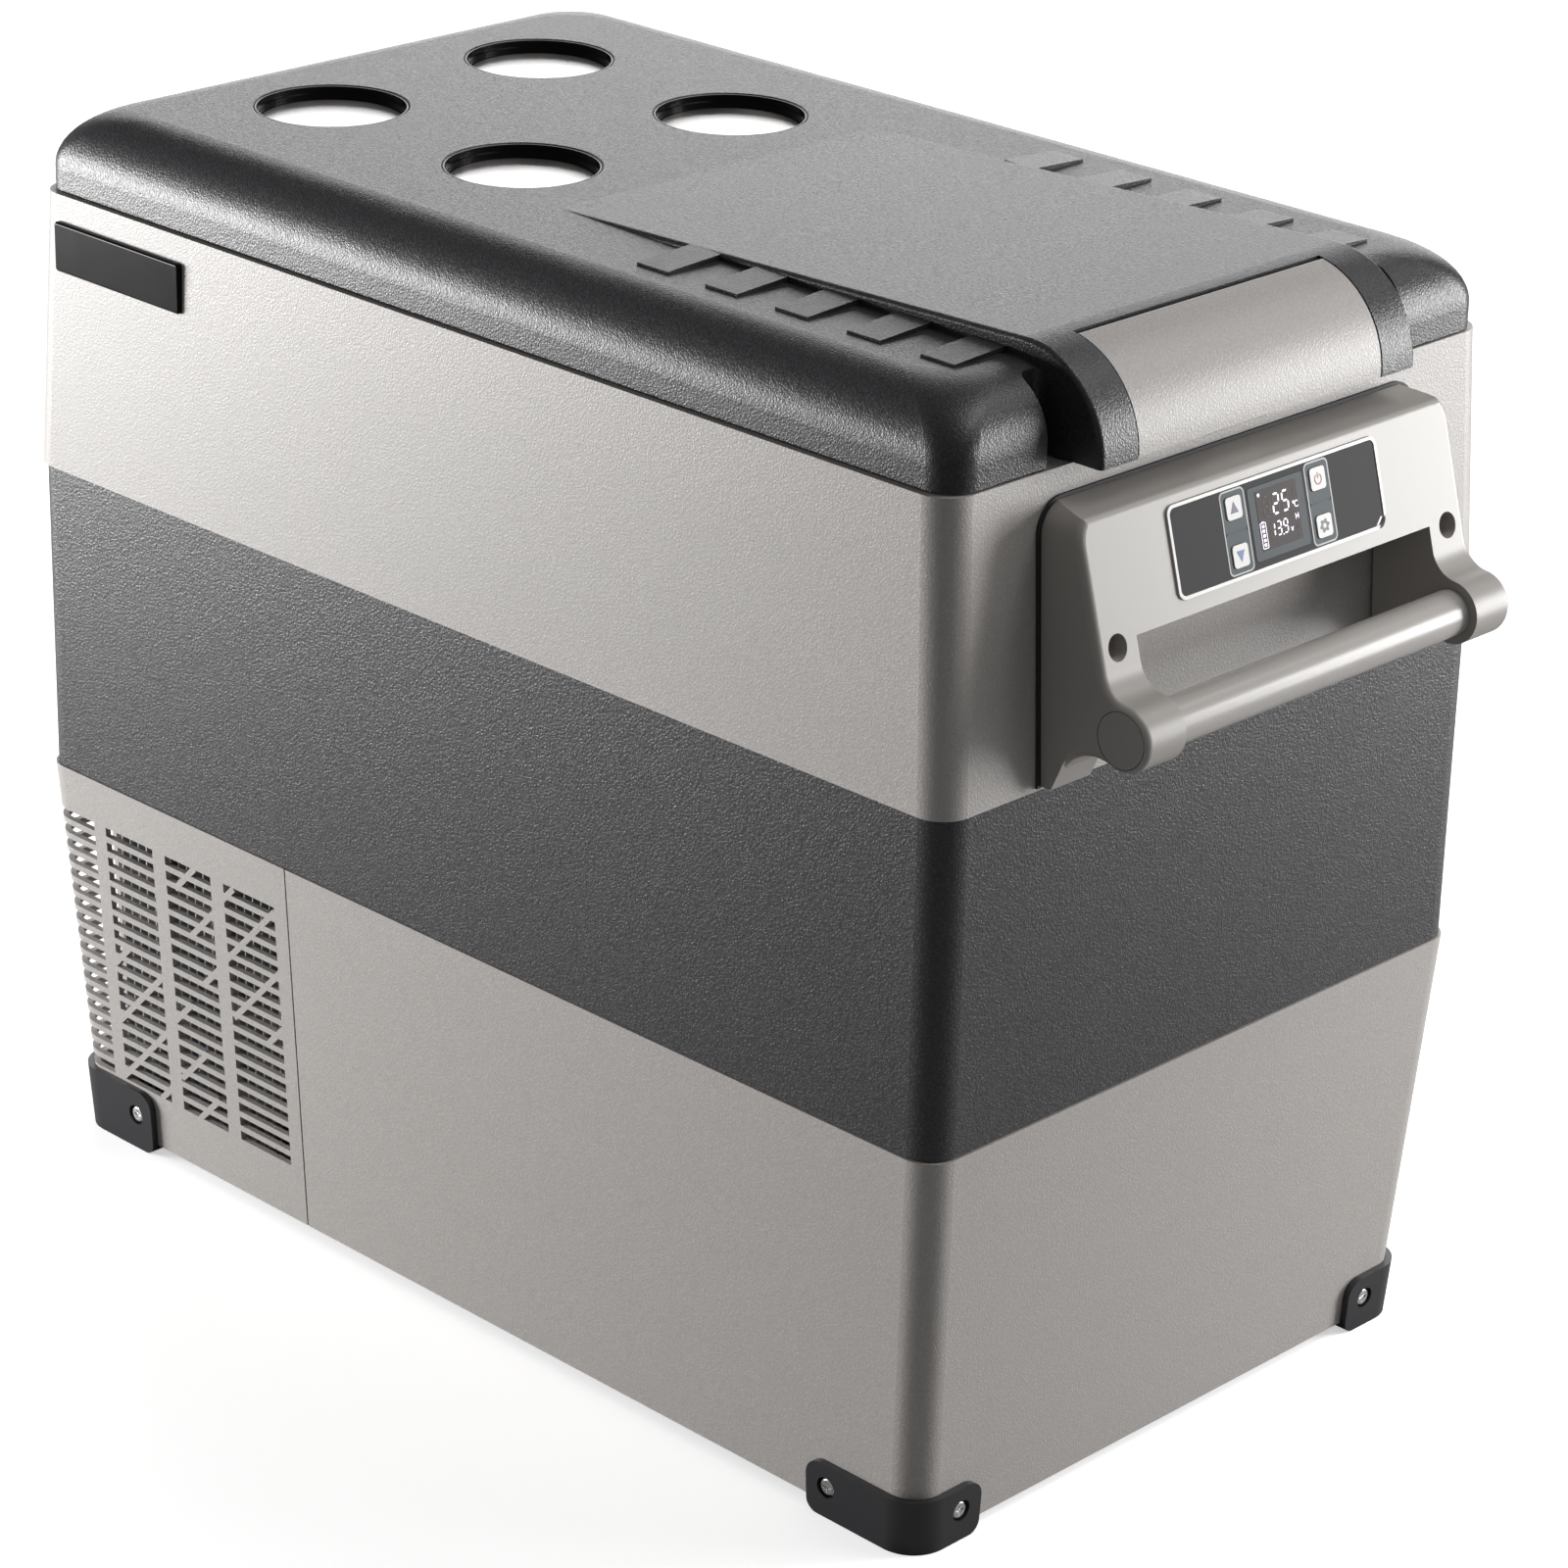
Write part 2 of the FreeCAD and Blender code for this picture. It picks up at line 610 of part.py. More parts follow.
def fan():
    x, z = FAN_CENTRE
    y0, y1 = FAN_Y
    half = 60.0
    frame = box(x - half, x + half, y0, y1, z - half, z + half)
    frame = rounded(frame, 6.0, lambda e: e.BoundBox.YLength > 20)
    frame = frame.cut(cylinder(57.0, (x, y0 - 1, z), (x, y1 + 1, z)))
    struts = []
    for turn in range(4):
        strut = box(x - 3, x + 3, y1 - 3, y1, z, z + 58)
        strut.rotate(V(x, 0, z), V(0, 1, 0), 45 + 90 * turn)
        struts.append(strut)
    motor = cylinder(18.0, (x, y1 - 5, z), (x, y1, z))
    shaft = cylinder(2.0, (x, y0 + 4, z), (x, y1 - 4, z))
    nodes["fan_frame"] = fuse([frame, motor, shaft] + struts)
    hub = cylinder(17.0, (x, y0 + 2, z), (x, y1 - 6, z))
    blades = []
    for turn in range(7):
        blade = box(x - 1.0, x + 1.0, y0 + 3, y1 - 7, z + 15, z + 54)
        blade.rotate(V(x, (y0 + y1) / 2, z), V(0, 0, 1), 40)
        blade = blade.common(box(x - 40, x + 40, y0 + 2.5, y1 - 6.2, z, z + 60))
        blade.rotate(V(x, 0, z), V(0, 1, 0), turn * 360 / 7)
        blades.append(blade)
    rotor = fuse([hub] + blades).cut(cylinder(2.06, (x, y0 - 5, z), (x, y1 + 5, z)))
    rim = cylinder(54.5, (x, y0, z), (x, y1, z))
    nodes["fan_rotor"] = rotor.common(rim)


def electronics():
    board = box(-262, -140, 118, 120, 40, 130)
    chips = []
    for i in range(3):
        chips.append(box(-252 + i * 36, -228 + i * 36, 120, 128, 60, 84))
        chips.append(cylinder(6, (-240 + i * 36, 120, 108), (-240 + i * 36, 138, 108)))
    sink = box(-258, -144, 128.3, 131, 56, 88)
    fins = [box(-256 + i * 10, -254 + i * 10, 131, 144, 56, 88) for i in range(12)]
    nodes["control_board"] = fuse([board] + chips)
    nodes["heat_sink"] = fuse([sink] + fins)


def pipework():
    drier = cylinder(9.0, (-136, -60, 190), (-136, 20, 190))
    drier = rounded(drier, 5.0, lambda e: e.BoundBox.XLength > 12)
    nodes["filter_drier"] = drier
    x, y, r = COMPRESSOR
    z = 24.0 + 85
    out, clear = x + r + 8.2, x + r + 24
    discharge = [(out, y - 20, z), (clear, y - 20, z), (clear, y - 20, 215), (clear, -100, 215)]
    nodes["discharge_tube"] = tube(discharge, 2.6, (8.0, 12.0))
    clear = x + r + 18
    suction = [(out, y + 20, z), (clear, y + 20, z), (clear, y + 20, 240), (clear, 100, 240)]
    nodes["suction_tube"] = tube(suction, 3.0, (7.0, 12.0))


# ---------------------------------------------------------------- lid
def console_outline(round_r, low):
    """Side view of the raised panel: a wedge that rolls over the latch end."""
    cx, cz = CONSOLE_CENTRE
    tip = (CONSOLE_TIP_X, LID_TOP)
    reach = math.hypot(cx - tip[0], cz - tip[1])
    heading = math.atan2(cz - tip[1], cx - tip[0]) + math.asin(CONSOLE_ROUND / reach)
    length = math.sqrt(reach ** 2 - CONSOLE_ROUND ** 2)
    top = (tip[0] + length * math.cos(heading), tip[1] + length * math.sin(heading))
    half_angle = (math.pi / 2 + heading) / 2
    bend = (cx + round_r * math.cos(half_angle), cz + round_r * math.sin(half_angle))
    end = (cx + round_r, cz)
    return [(tip, top), (top, bend, end), (end, (end[0], low)), ((end[0], low), (268.0, low)),
            ((268.0, low), (268.0, 515.0)), ((268.0, 515.0), (tip[0], 515.0)), ((tip[0], 515.0), tip)]


def lid_low():
    return RIM + LID_GAP


def lid_block(inset, low, top):
    """Lid body: upright walls, a top edge that rolls in, and corners that widen towards the top."""
    roll = LID_EDGE - inset
    steps = 8
    rings = [(low, 0.0)]
    for i in range(steps + 1):
        angle = math.pi / 2 * i / steps
        rings.append((top - roll + roll * math.sin(angle), roll * (1 - math.cos(angle))))
    wires = []
    for z, drawn_in in rings:
        radius = LID_CORNER - inset + LID_CORNER_SWELL * drawn_in
        half_x, half_y = LID_HALF[0] - inset - drawn_in, LID_HALF[1] - inset - drawn_in
        wires.append(rounded_rectangle(half_x, half_y, z, radius))
    wall = Part.makeLoft(wires[:2], True, True)
    return wall.fuse(Part.makeLoft(wires[1:], True, False)).removeSplitter()


def cup_places():
    return [(CUP_CENTRE_X + sx * CUP_OFFSET, sy * CUP_OFFSET) for sx in (-1, 1) for sy in (-1, 1)]


def sloping_tab(x0):
    """Flat tab beside the raised panel, thin at its outer end and higher where it meets the panel."""
    inner_y, low = -CONSOLE_HALF + 2, LID_TOP - 6
    inner_z, outer_z = LID_TOP + RIB_INNER_RISE, LID_TOP + RIB_OUTER_RISE
    corners = [(-RIB_OUTER_Y, low), (inner_y, low), (inner_y, inner_z), (-RIB_OUTER_Y, outer_z)]
    points = [V(x0, y, z) for y, z in corners]
    face = Part.Face(Part.makePolygon(points + points[:1]))
    return face.extrude(V(RIB_LENGTH, 0, 0))


def lid_shell():
    low = lid_low()
    console = profile_xz(console_outline(CONSOLE_ROUND, low), -CONSOLE_HALF, CONSOLE_HALF)
    console = rounded(console, 2.2, lambda e: is_console_edge(e))
    shell = lid_block(0.0, low, LID_TOP).fuse(console)
    ribs = []
    for i in range(RIB_COUNT):
        tab = sloping_tab(RIB_FIRST_X + i * RIB_PITCH)
        ribs += [tab, mirrored_y(tab)]
    shell = shell.multiFuse(ribs)
    for sy in (-1, 1):
        y0, y1 = sorted((sy * (CONSOLE_HALF + 0.3), sy * NOTCH_OUTER))
        notch = box(NOTCH_DEPTH_X, 320, y0, y1, low - 1, 530)
        shell = shell.cut(rounded(notch, 5.0, lambda e: e.BoundBox.ZLength > 30 and e.BoundBox.XMax < 275))
    latch_bay = box(269.3, 330, -ARM_INNER, ARM_INNER, low - 1, 540)
    shell = shell.cut(latch_bay.cut(lid_block(0.0, low, LID_TOP)))
    hollow = lid_block(LID_WALL, low - 1, LID_TOP - LID_WALL)
    keep_solid = box(266, 300, -NOTCH_OUTER - 3, NOTCH_OUTER + 3, low - 2, 540)
    hollow = hollow.cut(keep_solid)
    shell = shell.cut(hollow)
    for x, y in cup_places():
        shell = shell.cut(Part.makeCylinder(CUP_R + 0.3, 60, V(x, y, 500)))
    shell = rounded(shell, 0.9, is_cup_rim)
    for sy in (-1, 1):
        shell = shell.cut(box(-300, -280, sy * HINGE_Y - 11.5, sy * HINGE_Y + 11.5, low - 1, 491.3))
    pin = cylinder(LATCH_PIN_R + 0.05, (LATCH_X, -92, LATCH_Z), (LATCH_X, 92, LATCH_Z))
    nodes["lid_shell"] = shell.cut(pin).removeSplitter()


def is_cup_step(edge):
    return edge.BoundBox.ZMin > LID_TOP - 3.5 and edge.BoundBox.ZLength < 0.01


def is_cup_rim(edge):
    span = edge.BoundBox
    return span.ZMin > LID_TOP - 0.01 and span.ZLength < 0.01 and abs(span.XLength - 2 * (CUP_R + 0.3)) < 0.1


def is_console_edge(edge):
    span = edge.BoundBox
    on_side = abs(abs(span.YMin) - CONSOLE_HALF) < 0.01 and span.YLength < 0.01
    on_top = span.ZMin > 520 or span.XMax > 300
    return on_side and on_top and span.ZMax > 500 and span.ZLength > 0.01 and span.XLength > 5


def lid_lining():
    low = lid_low()
    plate_z = (491.0, 493.2)
    plate = block(LID_HALF[0] - LID_WALL - 0.5, LID_HALF[1] - LID_WALL - 0.5, *plate_z, LID_CORNER - LID_WALL)
    plate = plate.cut(box(265.5, 300, -NOTCH_OUTER - 3.5, NOTCH_OUTER + 3.5, low - 2, 540))
    plug_low = RIM - 9.5
    gap = 6.0
    plug = span_block(STEP_X + gap, WELL_X[1] - gap, WELL_HALF_Y - gap, plug_low, plate_z[0] + 0.5, 16)
    inset = gap + 2
    x0, x1 = STEP_X + inset, WELL_X[1] - inset
    recess = span_block(x0, x1, WELL_HALF_Y - inset, plug_low + 2, plate_z[1] + 1, 14)
    inner = plate.fuse(plug).cut(recess)
    nodes["lid_inner"] = inner.removeSplitter()

    outer = span_block(STEP_X - 12, WELL_X[1] + 7, WELL_HALF_Y + 12, RIM + 0.3, plate_z[0] - 0.1, 26)
    hole = span_block(STEP_X - 2, WELL_X[1] - 1, WELL_HALF_Y + 2, RIM - 1, plate_z[0] + 1, 18)
    nodes["lid_gasket"] = outer.cut(hole)

    core = lid_block(LID_WALL + 0.5, plate_z[1] + 0.3, LID_TOP - LID_WALL - 0.5)
    core = core.cut(box(265, 300, -NOTCH_OUTER - 4, NOTCH_OUTER + 4, low - 2, 540))
    inset = gap + 3
    x0, x1 = STEP_X + inset, WELL_X[1] - inset
    filling = span_block(x0, x1, WELL_HALF_Y - inset, plug_low + 2.5, plate_z[1] + 2, 12)
    core = core.fuse(filling)
    for x, y in cup_places():
        core = core.cut(Part.makeCylinder(CUP_R + 2.5, 60, V(x, y, LID_TOP - CUP_DEPTH - 3)))
    nodes["lid_foam"] = core.removeSplitter()


def cup_wells():
    """Stepped black cups let into the lid, each with a bright disc at the bottom."""
    cups, discs = [], []
    floor = LID_TOP - CUP_DEPTH
    for x, y in cup_places():
        cup = Part.makeCylinder(CUP_R, CUP_DEPTH + 1.6, V(x, y, floor - 2.0))
        cup = cup.cut(Part.makeCylinder(CUP_R - 1.0, CUP_DEPTH, V(x, y, LID_TOP - 3.4)))
        cup = cup.cut(Part.makeCylinder(CUP_R - 2.0, CUP_DEPTH, V(x, y, floor)))
        cups.append(rounded(cup, 0.3, is_cup_step))
        disc = Part.makeCylinder(CUP_R - 2.3, 0.8, V(x, y, floor + 0.1))
        discs.append(rounded(disc, 0.3, lambda e: e.BoundBox.ZMin > floor + 0.8))
    nodes["cup_wells"] = group(cups)
    nodes["cup_discs"] = group(discs)


# ---------------------------------------------------------------- hinges and latch
def hinges():
    leaves, lid_leaves, pins = [], [], []
    hull = loft(upper_levels(440, RIM, 0.3))
    for sy in (-1, 1):
        y = sy * HINGE_Y
        leaf = box(-293.2, -285, y - 30, y + 30, 477.6, 487.0).cut(hull)
        web = box(-296.0, -289.0, y - 30, y + 30, 484.0, 487.2).cut(hull)
        knuckle = cylinder(KNUCKLE_R, (HINGE_X, y - 30, HINGE_Z), (HINGE_X, y + 30, HINGE_Z))
        gap = box(-310, -280, y - 11.5, y + 11.5, 483.5, 500)
        bore = cylinder(HINGE_PIN_R + 0.04, (HINGE_X, y - 40, HINGE_Z), (HINGE_X, y + 40, HINGE_Z))
        leaves.append(fuse([leaf, web, knuckle]).cut(gap).cut(bore))
        tongue = box(-294.5, -262, y - 10.8, y + 10.8, 488.7, 490.7)
        roll = cylinder(KNUCKLE_R, (HINGE_X, y - 10.8, HINGE_Z), (HINGE_X, y + 10.8, HINGE_Z))
        lid_leaves.append(fuse([roll, tongue]).cut(bore))
        pins.append(cylinder(HINGE_PIN_R, (HINGE_X, y - 31, HINGE_Z), (HINGE_X, y + 31, HINGE_Z)))
    nodes["hinge_leaf_body"] = group(leaves)
    nodes["hinge_leaf_lid"] = group(lid_leaves)
    nodes["hinge_pins"] = group(pins)


def arc_piece(radius, start, end):
    """Three points of an arc about the console's centre, from and to the given angles."""
    cx, cz = CONSOLE_CENTRE
    points = []
    for angle in (start, (start + end) / 2, end):
        a = math.radians(angle)
        points.append((cx + radius * math.cos(a), cz + radius * math.sin(a)))
    return tuple(points)


def latch():
    """Curved flap that swings out on a pin at its top edge, and its catch on the body."""
    low = lid_low() + 0.6
    outer_r = CONSOLE_ROUND - 0.2
    inner_r = outer_r - 2.6
    outer = arc_piece(outer_r, 77.0, 0.0)
    inner = arc_piece(inner_r, 0.0, 77.0)
    foot_out, foot_in = (outer[2][0], low), (inner[0][0], low)
    edges = [outer, (outer[2], foot_out), (foot_out, foot_in), (foot_in, inner[0])]
    edges += [inner, (inner[2], outer[0])]
    plate = profile_xz(edges, -LATCH_HALF, LATCH_HALF)
    barrel = cylinder(LATCH_BARREL_R, (LATCH_X, -LATCH_HALF, LATCH_Z), (LATCH_X, LATCH_HALF, LATCH_Z))
    webs = []
    for y in (-60.0, -20.0, 17.0, 57.0):
        rib_out = arc_piece(inner_r + 0.5, 40.0, 0.0)
        rib_in = arc_piece(inner_r - 4.0, 0.0, 40.0)
        rib = [rib_out, (rib_out[2], rib_in[0]), rib_in, (rib_in[2], rib_out[0])]
        webs.append(profile_xz(rib, y, y + 3.0))
    hook = [(305.2, 497.0), (305.2, 489.4), (298.8, 489.4), (298.8, 491.4), (302.0, 491.6), (303.2, 497.0)]
    catch = profile_xz(outline(hook), -HOOK_HALF, HOOK_HALF)
    flap = fuse([plate, barrel, catch] + webs)
    bore = cylinder(LATCH_PIN_R + 0.05, (LATCH_X, -100, LATCH_Z), (LATCH_X, 100, LATCH_Z))
    nodes["latch_flap"] = flap.cut(bore)
    nodes["latch_pin"] = cylinder(LATCH_PIN_R, (LATCH_X, -91, LATCH_Z), (LATCH_X, 91, LATCH_Z))
    post = [(287.0, 481.2), (293.4, 481.2), (295.0, 486.5), (295.0, 492.4), (298.2, 492.4), (298.2, 494.4),
            (292.4, 494.4), (292.4, 487.8), (287.0, 486.8)]
    strike = profile_xz(outline(post), -HOOK_HALF, HOOK_HALF)
    nodes["latch_strike"] = strike.cut(loft(upper_levels(440, RIM, 0.1)))


# ---------------------------------------------------------------- handles
def scoop_points(centre, radius, start_angle, end_angle):
    """Three points of an arc in the XZ plane."""
    points = []
    for angle in (start_angle, (start_angle + end_angle) / 2, end_angle):
        points.append((centre[0] + radius * math.cos(angle), centre[1] + radius * math.sin(angle)))
    return tuple(points)


def upright_slab(half_y, half_z, radius):
    """Block that stands across the end face, rounded at its two upper corners, square below."""
    mid_z = (BRACKET_TOP + BRACKET_LOW) / 2
    flat = block(half_y, half_z, 0.0, 110.0, radius)
    flat = flat.fuse(box(-half_y, half_y, -half_z, 0.0, 0.0, 110.0))
    flat.transformShape(FreeCAD.Matrix(0, 0, 1, 260.0, 1, 0, 0, 0, 0, 1, 0, mid_z, 0, 0, 0, 1))
    return flat.removeSplitter()


def bracket_side():
    """Side view of the bracket: leans with the panel, swings out round the bar and back to the body."""
    tilt = math.radians(PANEL_TILT)
    down = (math.sin(tilt), -math.cos(tilt))
    out = (math.cos(tilt), math.sin(tilt))
    face = (PANEL_CENTRE[0], PANEL_CENTRE[2])
    brow = (face[0] - down[0] * 25, face[1] - down[1] * 25)
    chin = (face[0] + down[0] * 37.5, face[1] + down[1] * 37.5)
    # the hollow above the bar touches the face at the chin and the boss
    ax, az = chin[0] - BAR_X, chin[1] - BAR_Z
    hollow_r = (ax ** 2 + az ** 2 - BOSS_R ** 2) / (2 * (BOSS_R - ax * out[0] - az * out[1]))
    hollow = (chin[0] + out[0] * hollow_r, chin[1] + out[1] * hollow_r)
    to_boss = math.atan2(BAR_Z - hollow[1], BAR_X - hollow[0]) % (2 * math.pi)
    neck = scoop_points(hollow, hollow_r, math.pi + tilt, to_boss)
    # the scoop under the bar runs back to the foot of the bracket
    belly_angle = math.radians(-110.0)
    scoop_r = 22.0
    reach = BOSS_R + scoop_r
    scoop = (BAR_X + reach * math.cos(belly_angle), BAR_Z + reach * math.sin(belly_angle))
    back_angle = math.pi - math.acos((scoop[0] - ARM_BACK_X) / scoop_r)
    under = scoop_points(scoop, scoop_r, belly_angle + math.pi, back_angle)
    nose = scoop_points((BAR_X, BAR_Z), BOSS_R, to_boss - math.pi, belly_angle)
    foot, heel, shoulder = (305.0, BRACKET_LOW), (270.0, BRACKET_LOW), (288.8, BRACKET_TOP)
    back_top = (270.0, 478.6)
    front = [(brow, neck[0]), neck, (neck[2], nose[1], nose[2]), (nose[2], under[1], under[2])]
    front.append((under[2], foot))
    back = [(foot, heel), (heel, back_top), (back_top, shoulder), (shoulder, brow)]
    return profile_xz(front + back, -BRACKET_HALF, BRACKET_HALF)


def is_bracket_front_edge(edge):
    span = edge.BoundBox
    along_side = span.YLength < 20 and span.XMin > ARM_BACK_X - 0.01 and span.XLength + span.ZLength > 1
    along_brow = span.YLength > 100 and span.ZMin > 470 and span.XMin > 311
    return along_side or along_brow


def handle_bracket(with_panel):
    """One moulding: a housing behind the panel and two arms that hold the bar."""
    half_z = (BRACKET_TOP - BRACKET_LOW) / 2
    shape = bracket_side().common(upright_slab(BRACKET_HALF, half_z, 14.0))
    shape = rounded(shape, BRACKET_EDGE, is_bracket_front_edge)
    lip = on_panel(box(-ARM_IN_Y, ARM_IN_Y, -200, -26.6, -100, 60))
    shape = shape.cut(lip).cut(box(270, 306, -ARM_IN_Y, ARM_IN_Y, 340, 424.0))
    shape = shape.cut(loft(upper_levels(SEAM_HIGH - 6, RIM, 1.4)))
    shape = shape.cut(box(280, 306.5 if with_panel else 303, -ARM_IN_Y + 6, ARM_IN_Y - 6, 428.5, 468.0))
    shape = shape.cut(cylinder(BAR_R + 0.05, (BAR_X, -115.4, BAR_Z), (BAR_X, 115.4, BAR_Z)))
    for sy in (-1, 1):
        shape = shape.cut(cylinder(CAP_R + 0.3, (BAR_X, sy * 115.4, BAR_Z), (BAR_X, sy * 125, BAR_Z)))
        y, z = sy * HANDLE_SCREW[0], HANDLE_SCREW[1]
        shape = shape.cut(cylinder(5.6, (301.0, y, z), (340, y, z)))
    if with_panel:
        half_u, half_v = PANEL_BEZEL
        shape = shape.cut(on_panel(block(half_u + 0.2, half_v + 0.2, -PANEL_POCKET, 5, 4.2)))
        shape = shape.cut(on_panel(block(half_u - 6, half_v - 3, -40, 5, 3.0)))
    return shape.cut(handle_screw_holes(2.7)).removeSplitter()


def handle_gasket():
    """Thin rubber sheet between the bracket and the body, open between the arms."""
    half_z = (BRACKET_TOP - BRACKET_LOW) / 2 + 0.9
    skin = loft(upper_levels(SEAM_HIGH + 0.4, RIM, 1.2))
    skin = skin.cut(loft(upper_levels(SEAM_HIGH - 5, RIM + 5, 0.15)))
    sheet = skin.common(upright_slab(BRACKET_HALF + 2.0, half_z, 15.0))
    sheet = sheet.cut(box(280, 330, -ARM_IN_Y - 2, ARM_IN_Y + 2, 340, 426.0))
    return sheet.cut(handle_screw_holes(2.7)).removeSplitter()


def handles():
    tube_outer = cylinder(BAR_R, (BAR_X, -115.2, BAR_Z), (BAR_X, 115.2, BAR_Z))
    bar = tube_outer.cut(cylinder(BAR_R - 2.0, (BAR_X, -120, BAR_Z), (BAR_X, 120, BAR_Z)))
    caps = []
    for sy in (-1, 1):
        cap = cylinder(CAP_R, (BAR_X, sy * 115.6, BAR_Z), (BAR_X, sy * (BRACKET_HALF - 0.3), BAR_Z))
        caps.append(cap)
    screw = cross_screw(4.9, 2.8, 2.4, 10.0)
    y, z = HANDLE_SCREW
    screws = [aimed(screw, (301.3, sy * y, z), (1, 0, 0)) for sy in (-1, 1)]
    nodes["handle_caps"] = group(caps + [mirrored_x(cap) for cap in caps])
    nodes["handle_screws"] = group(screws + [mirrored_x(screw) for screw in screws])
    nodes["handle_bracket_front"] = handle_bracket(True)
    nodes["handle_bracket_rear"] = mirrored_x(handle_bracket(False))
    for name, shape in {"handle_gasket": handle_gasket(), "handle_bar": bar}.items():
        nodes[name + "_front"] = shape
        nodes[name + "_rear"] = mirrored_x(shape)


# ---------------------------------------------------------------- control panel
def key_places():
    return {"key_up": (-KEY_U, KEY_V), "key_down": (-KEY_U, -KEY_V),
            "key_power": (KEY_U, KEY_V), "key_settings": (KEY_U, -KEY_V)}


def control_panel():
    half_u, half_v = PANEL_BEZEL
    bezel = block(half_u, half_v, -PANEL_POCKET + 0.1, 0.9, 4.0)
    chamfer = box(-5, 5, -5, 5, -6, 6)
    chamfer.rotate(V(0, 0, 0), V(0, 0, 1), 45)
    set_out = (5 * math.sqrt(2) - BEZEL_CHAMFER) / 2
    chamfer.translate(V(half_u + set_out, -half_v - set_out, 0))
    window = block(half_u - 1.4, half_v - 1.4, -0.2, 5, 3.0)
    through = block(half_u - 8, half_v - 2.5, -5, 5, 2.0)
    nodes["panel_bezel"] = on_panel(bezel.cut(chamfer).cut(window).cut(through))
    overlay = block(half_u - 1.55, half_v - 1.55, -0.1, 0.55, 2.9)
    cut_corner = chamfer.copy()
    cut_corner.translate(V(-1.2, 1.2, 0))
    overlay = overlay.cut(cut_corner)
    overlay = overlay.cut(block(SCREEN_HALF[0] + 0.1, SCREEN_HALF[1] + 0.1, -2, 2, 1.5))
    key = block(KEY_SIZE / 2, KEY_SIZE / 2, -1.4, 1.1, 1.6)
    key = key.fuse(block(KEY_SIZE / 2 + 0.8, KEY_SIZE / 2 + 0.8, -1.8, -0.5, 1.8)).removeSplitter()
    for name, (u, v) in key_places().items():
        overlay = overlay.cut(block(KEY_SIZE / 2 + 0.15, KEY_SIZE / 2 + 0.15, -3, 3, 1.7, (u, v)))
        cap = key.copy()
        cap.translate(V(u, v, 0))
        nodes[name] = on_panel(cap)
    nodes["panel_overlay"] = on_panel(overlay.removeSplitter())
    nodes["display_window"] = on_panel(block(*SCREEN_HALF, -1.0, 0.7, 1.4))
    board = block(half_u - 9, half_v - 6, -4.6, -3.0, 1.0)
    switches = [block(3, 3, -3.2, -2.4, 0.5, place) for place in key_places().values()]
    screen_back = block(15, 13, -3.2, -1.2, 0.5)
    nodes["control_pcb"] = on_panel(board.multiFuse(switches + [screen_back]).removeSplitter())


def badge():
    hull = loft(upper_levels(440, 486, 0.1))
    mid = upper_half(sum(BADGE_Z) / 2)[1]
    plate = box(BADGE_X[0], BADGE_X[1], -mid - BADGE_PROUD, -mid + 8, BADGE_Z[0], BADGE_Z[1])
    plate = rounded(plate, 2.0, lambda e: e.BoundBox.YLength > 5)
    plate = rounded(plate, 1.2, lambda e: e.BoundBox.YMax < -mid - BADGE_PROUD + 0.01)
    nodes["badge_plate"] = plate.cut(hull)


# ---------------------------------------------------------------- build
body_bands()
vent_cover()
power_inlets()
base_plate()
corner_feet()
liner_and_foam()
nodes["evaporator_tube"] = evaporator()
interior_light()
basket()
compressor()
condenser()
fan()
electronics()
pipework()
lid_shell()
lid_lining()
cup_wells()
hinges()
latch()
handles()
control_panel()
badge()

os.makedirs("parts", exist_ok=True)
for name, shape in nodes.items():
    shape.exportStep("parts/" + name + ".step")
    print(name, len(shape.Solids), "solids, valid", shape.isValid(), "volume", round(shape.Volume))
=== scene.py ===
"""Looks of the compressor cooler fridge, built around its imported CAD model. Metres, +Z up."""

import json
import math

import bmesh
import bpy
from mathutils import Matrix, Vector


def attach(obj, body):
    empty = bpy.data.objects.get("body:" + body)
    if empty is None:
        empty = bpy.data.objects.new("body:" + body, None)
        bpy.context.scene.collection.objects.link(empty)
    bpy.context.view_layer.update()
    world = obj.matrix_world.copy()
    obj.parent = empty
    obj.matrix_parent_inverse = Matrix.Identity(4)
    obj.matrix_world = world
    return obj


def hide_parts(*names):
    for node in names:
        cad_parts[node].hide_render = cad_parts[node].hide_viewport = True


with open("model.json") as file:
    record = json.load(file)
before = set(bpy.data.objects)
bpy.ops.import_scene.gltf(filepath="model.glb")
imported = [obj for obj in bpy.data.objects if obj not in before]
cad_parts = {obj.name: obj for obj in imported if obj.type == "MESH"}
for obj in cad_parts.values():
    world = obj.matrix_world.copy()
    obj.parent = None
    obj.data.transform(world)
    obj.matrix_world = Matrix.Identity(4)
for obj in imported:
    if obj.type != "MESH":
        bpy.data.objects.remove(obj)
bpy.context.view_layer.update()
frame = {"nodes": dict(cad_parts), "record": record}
NODES = frame["nodes"]

# ---------------------------------------------------------------- the view
CAMERA_AT = Vector((1.5297, -1.5367, 1.1506))
CAMERA_AZIMUTH = math.radians(44.169)
CAMERA_ELEVATION = math.radians(23.068)
CAMERA_ROLL = math.radians(1.4225)
LENS_MM = 114.36
SENSOR_MM = 36.0

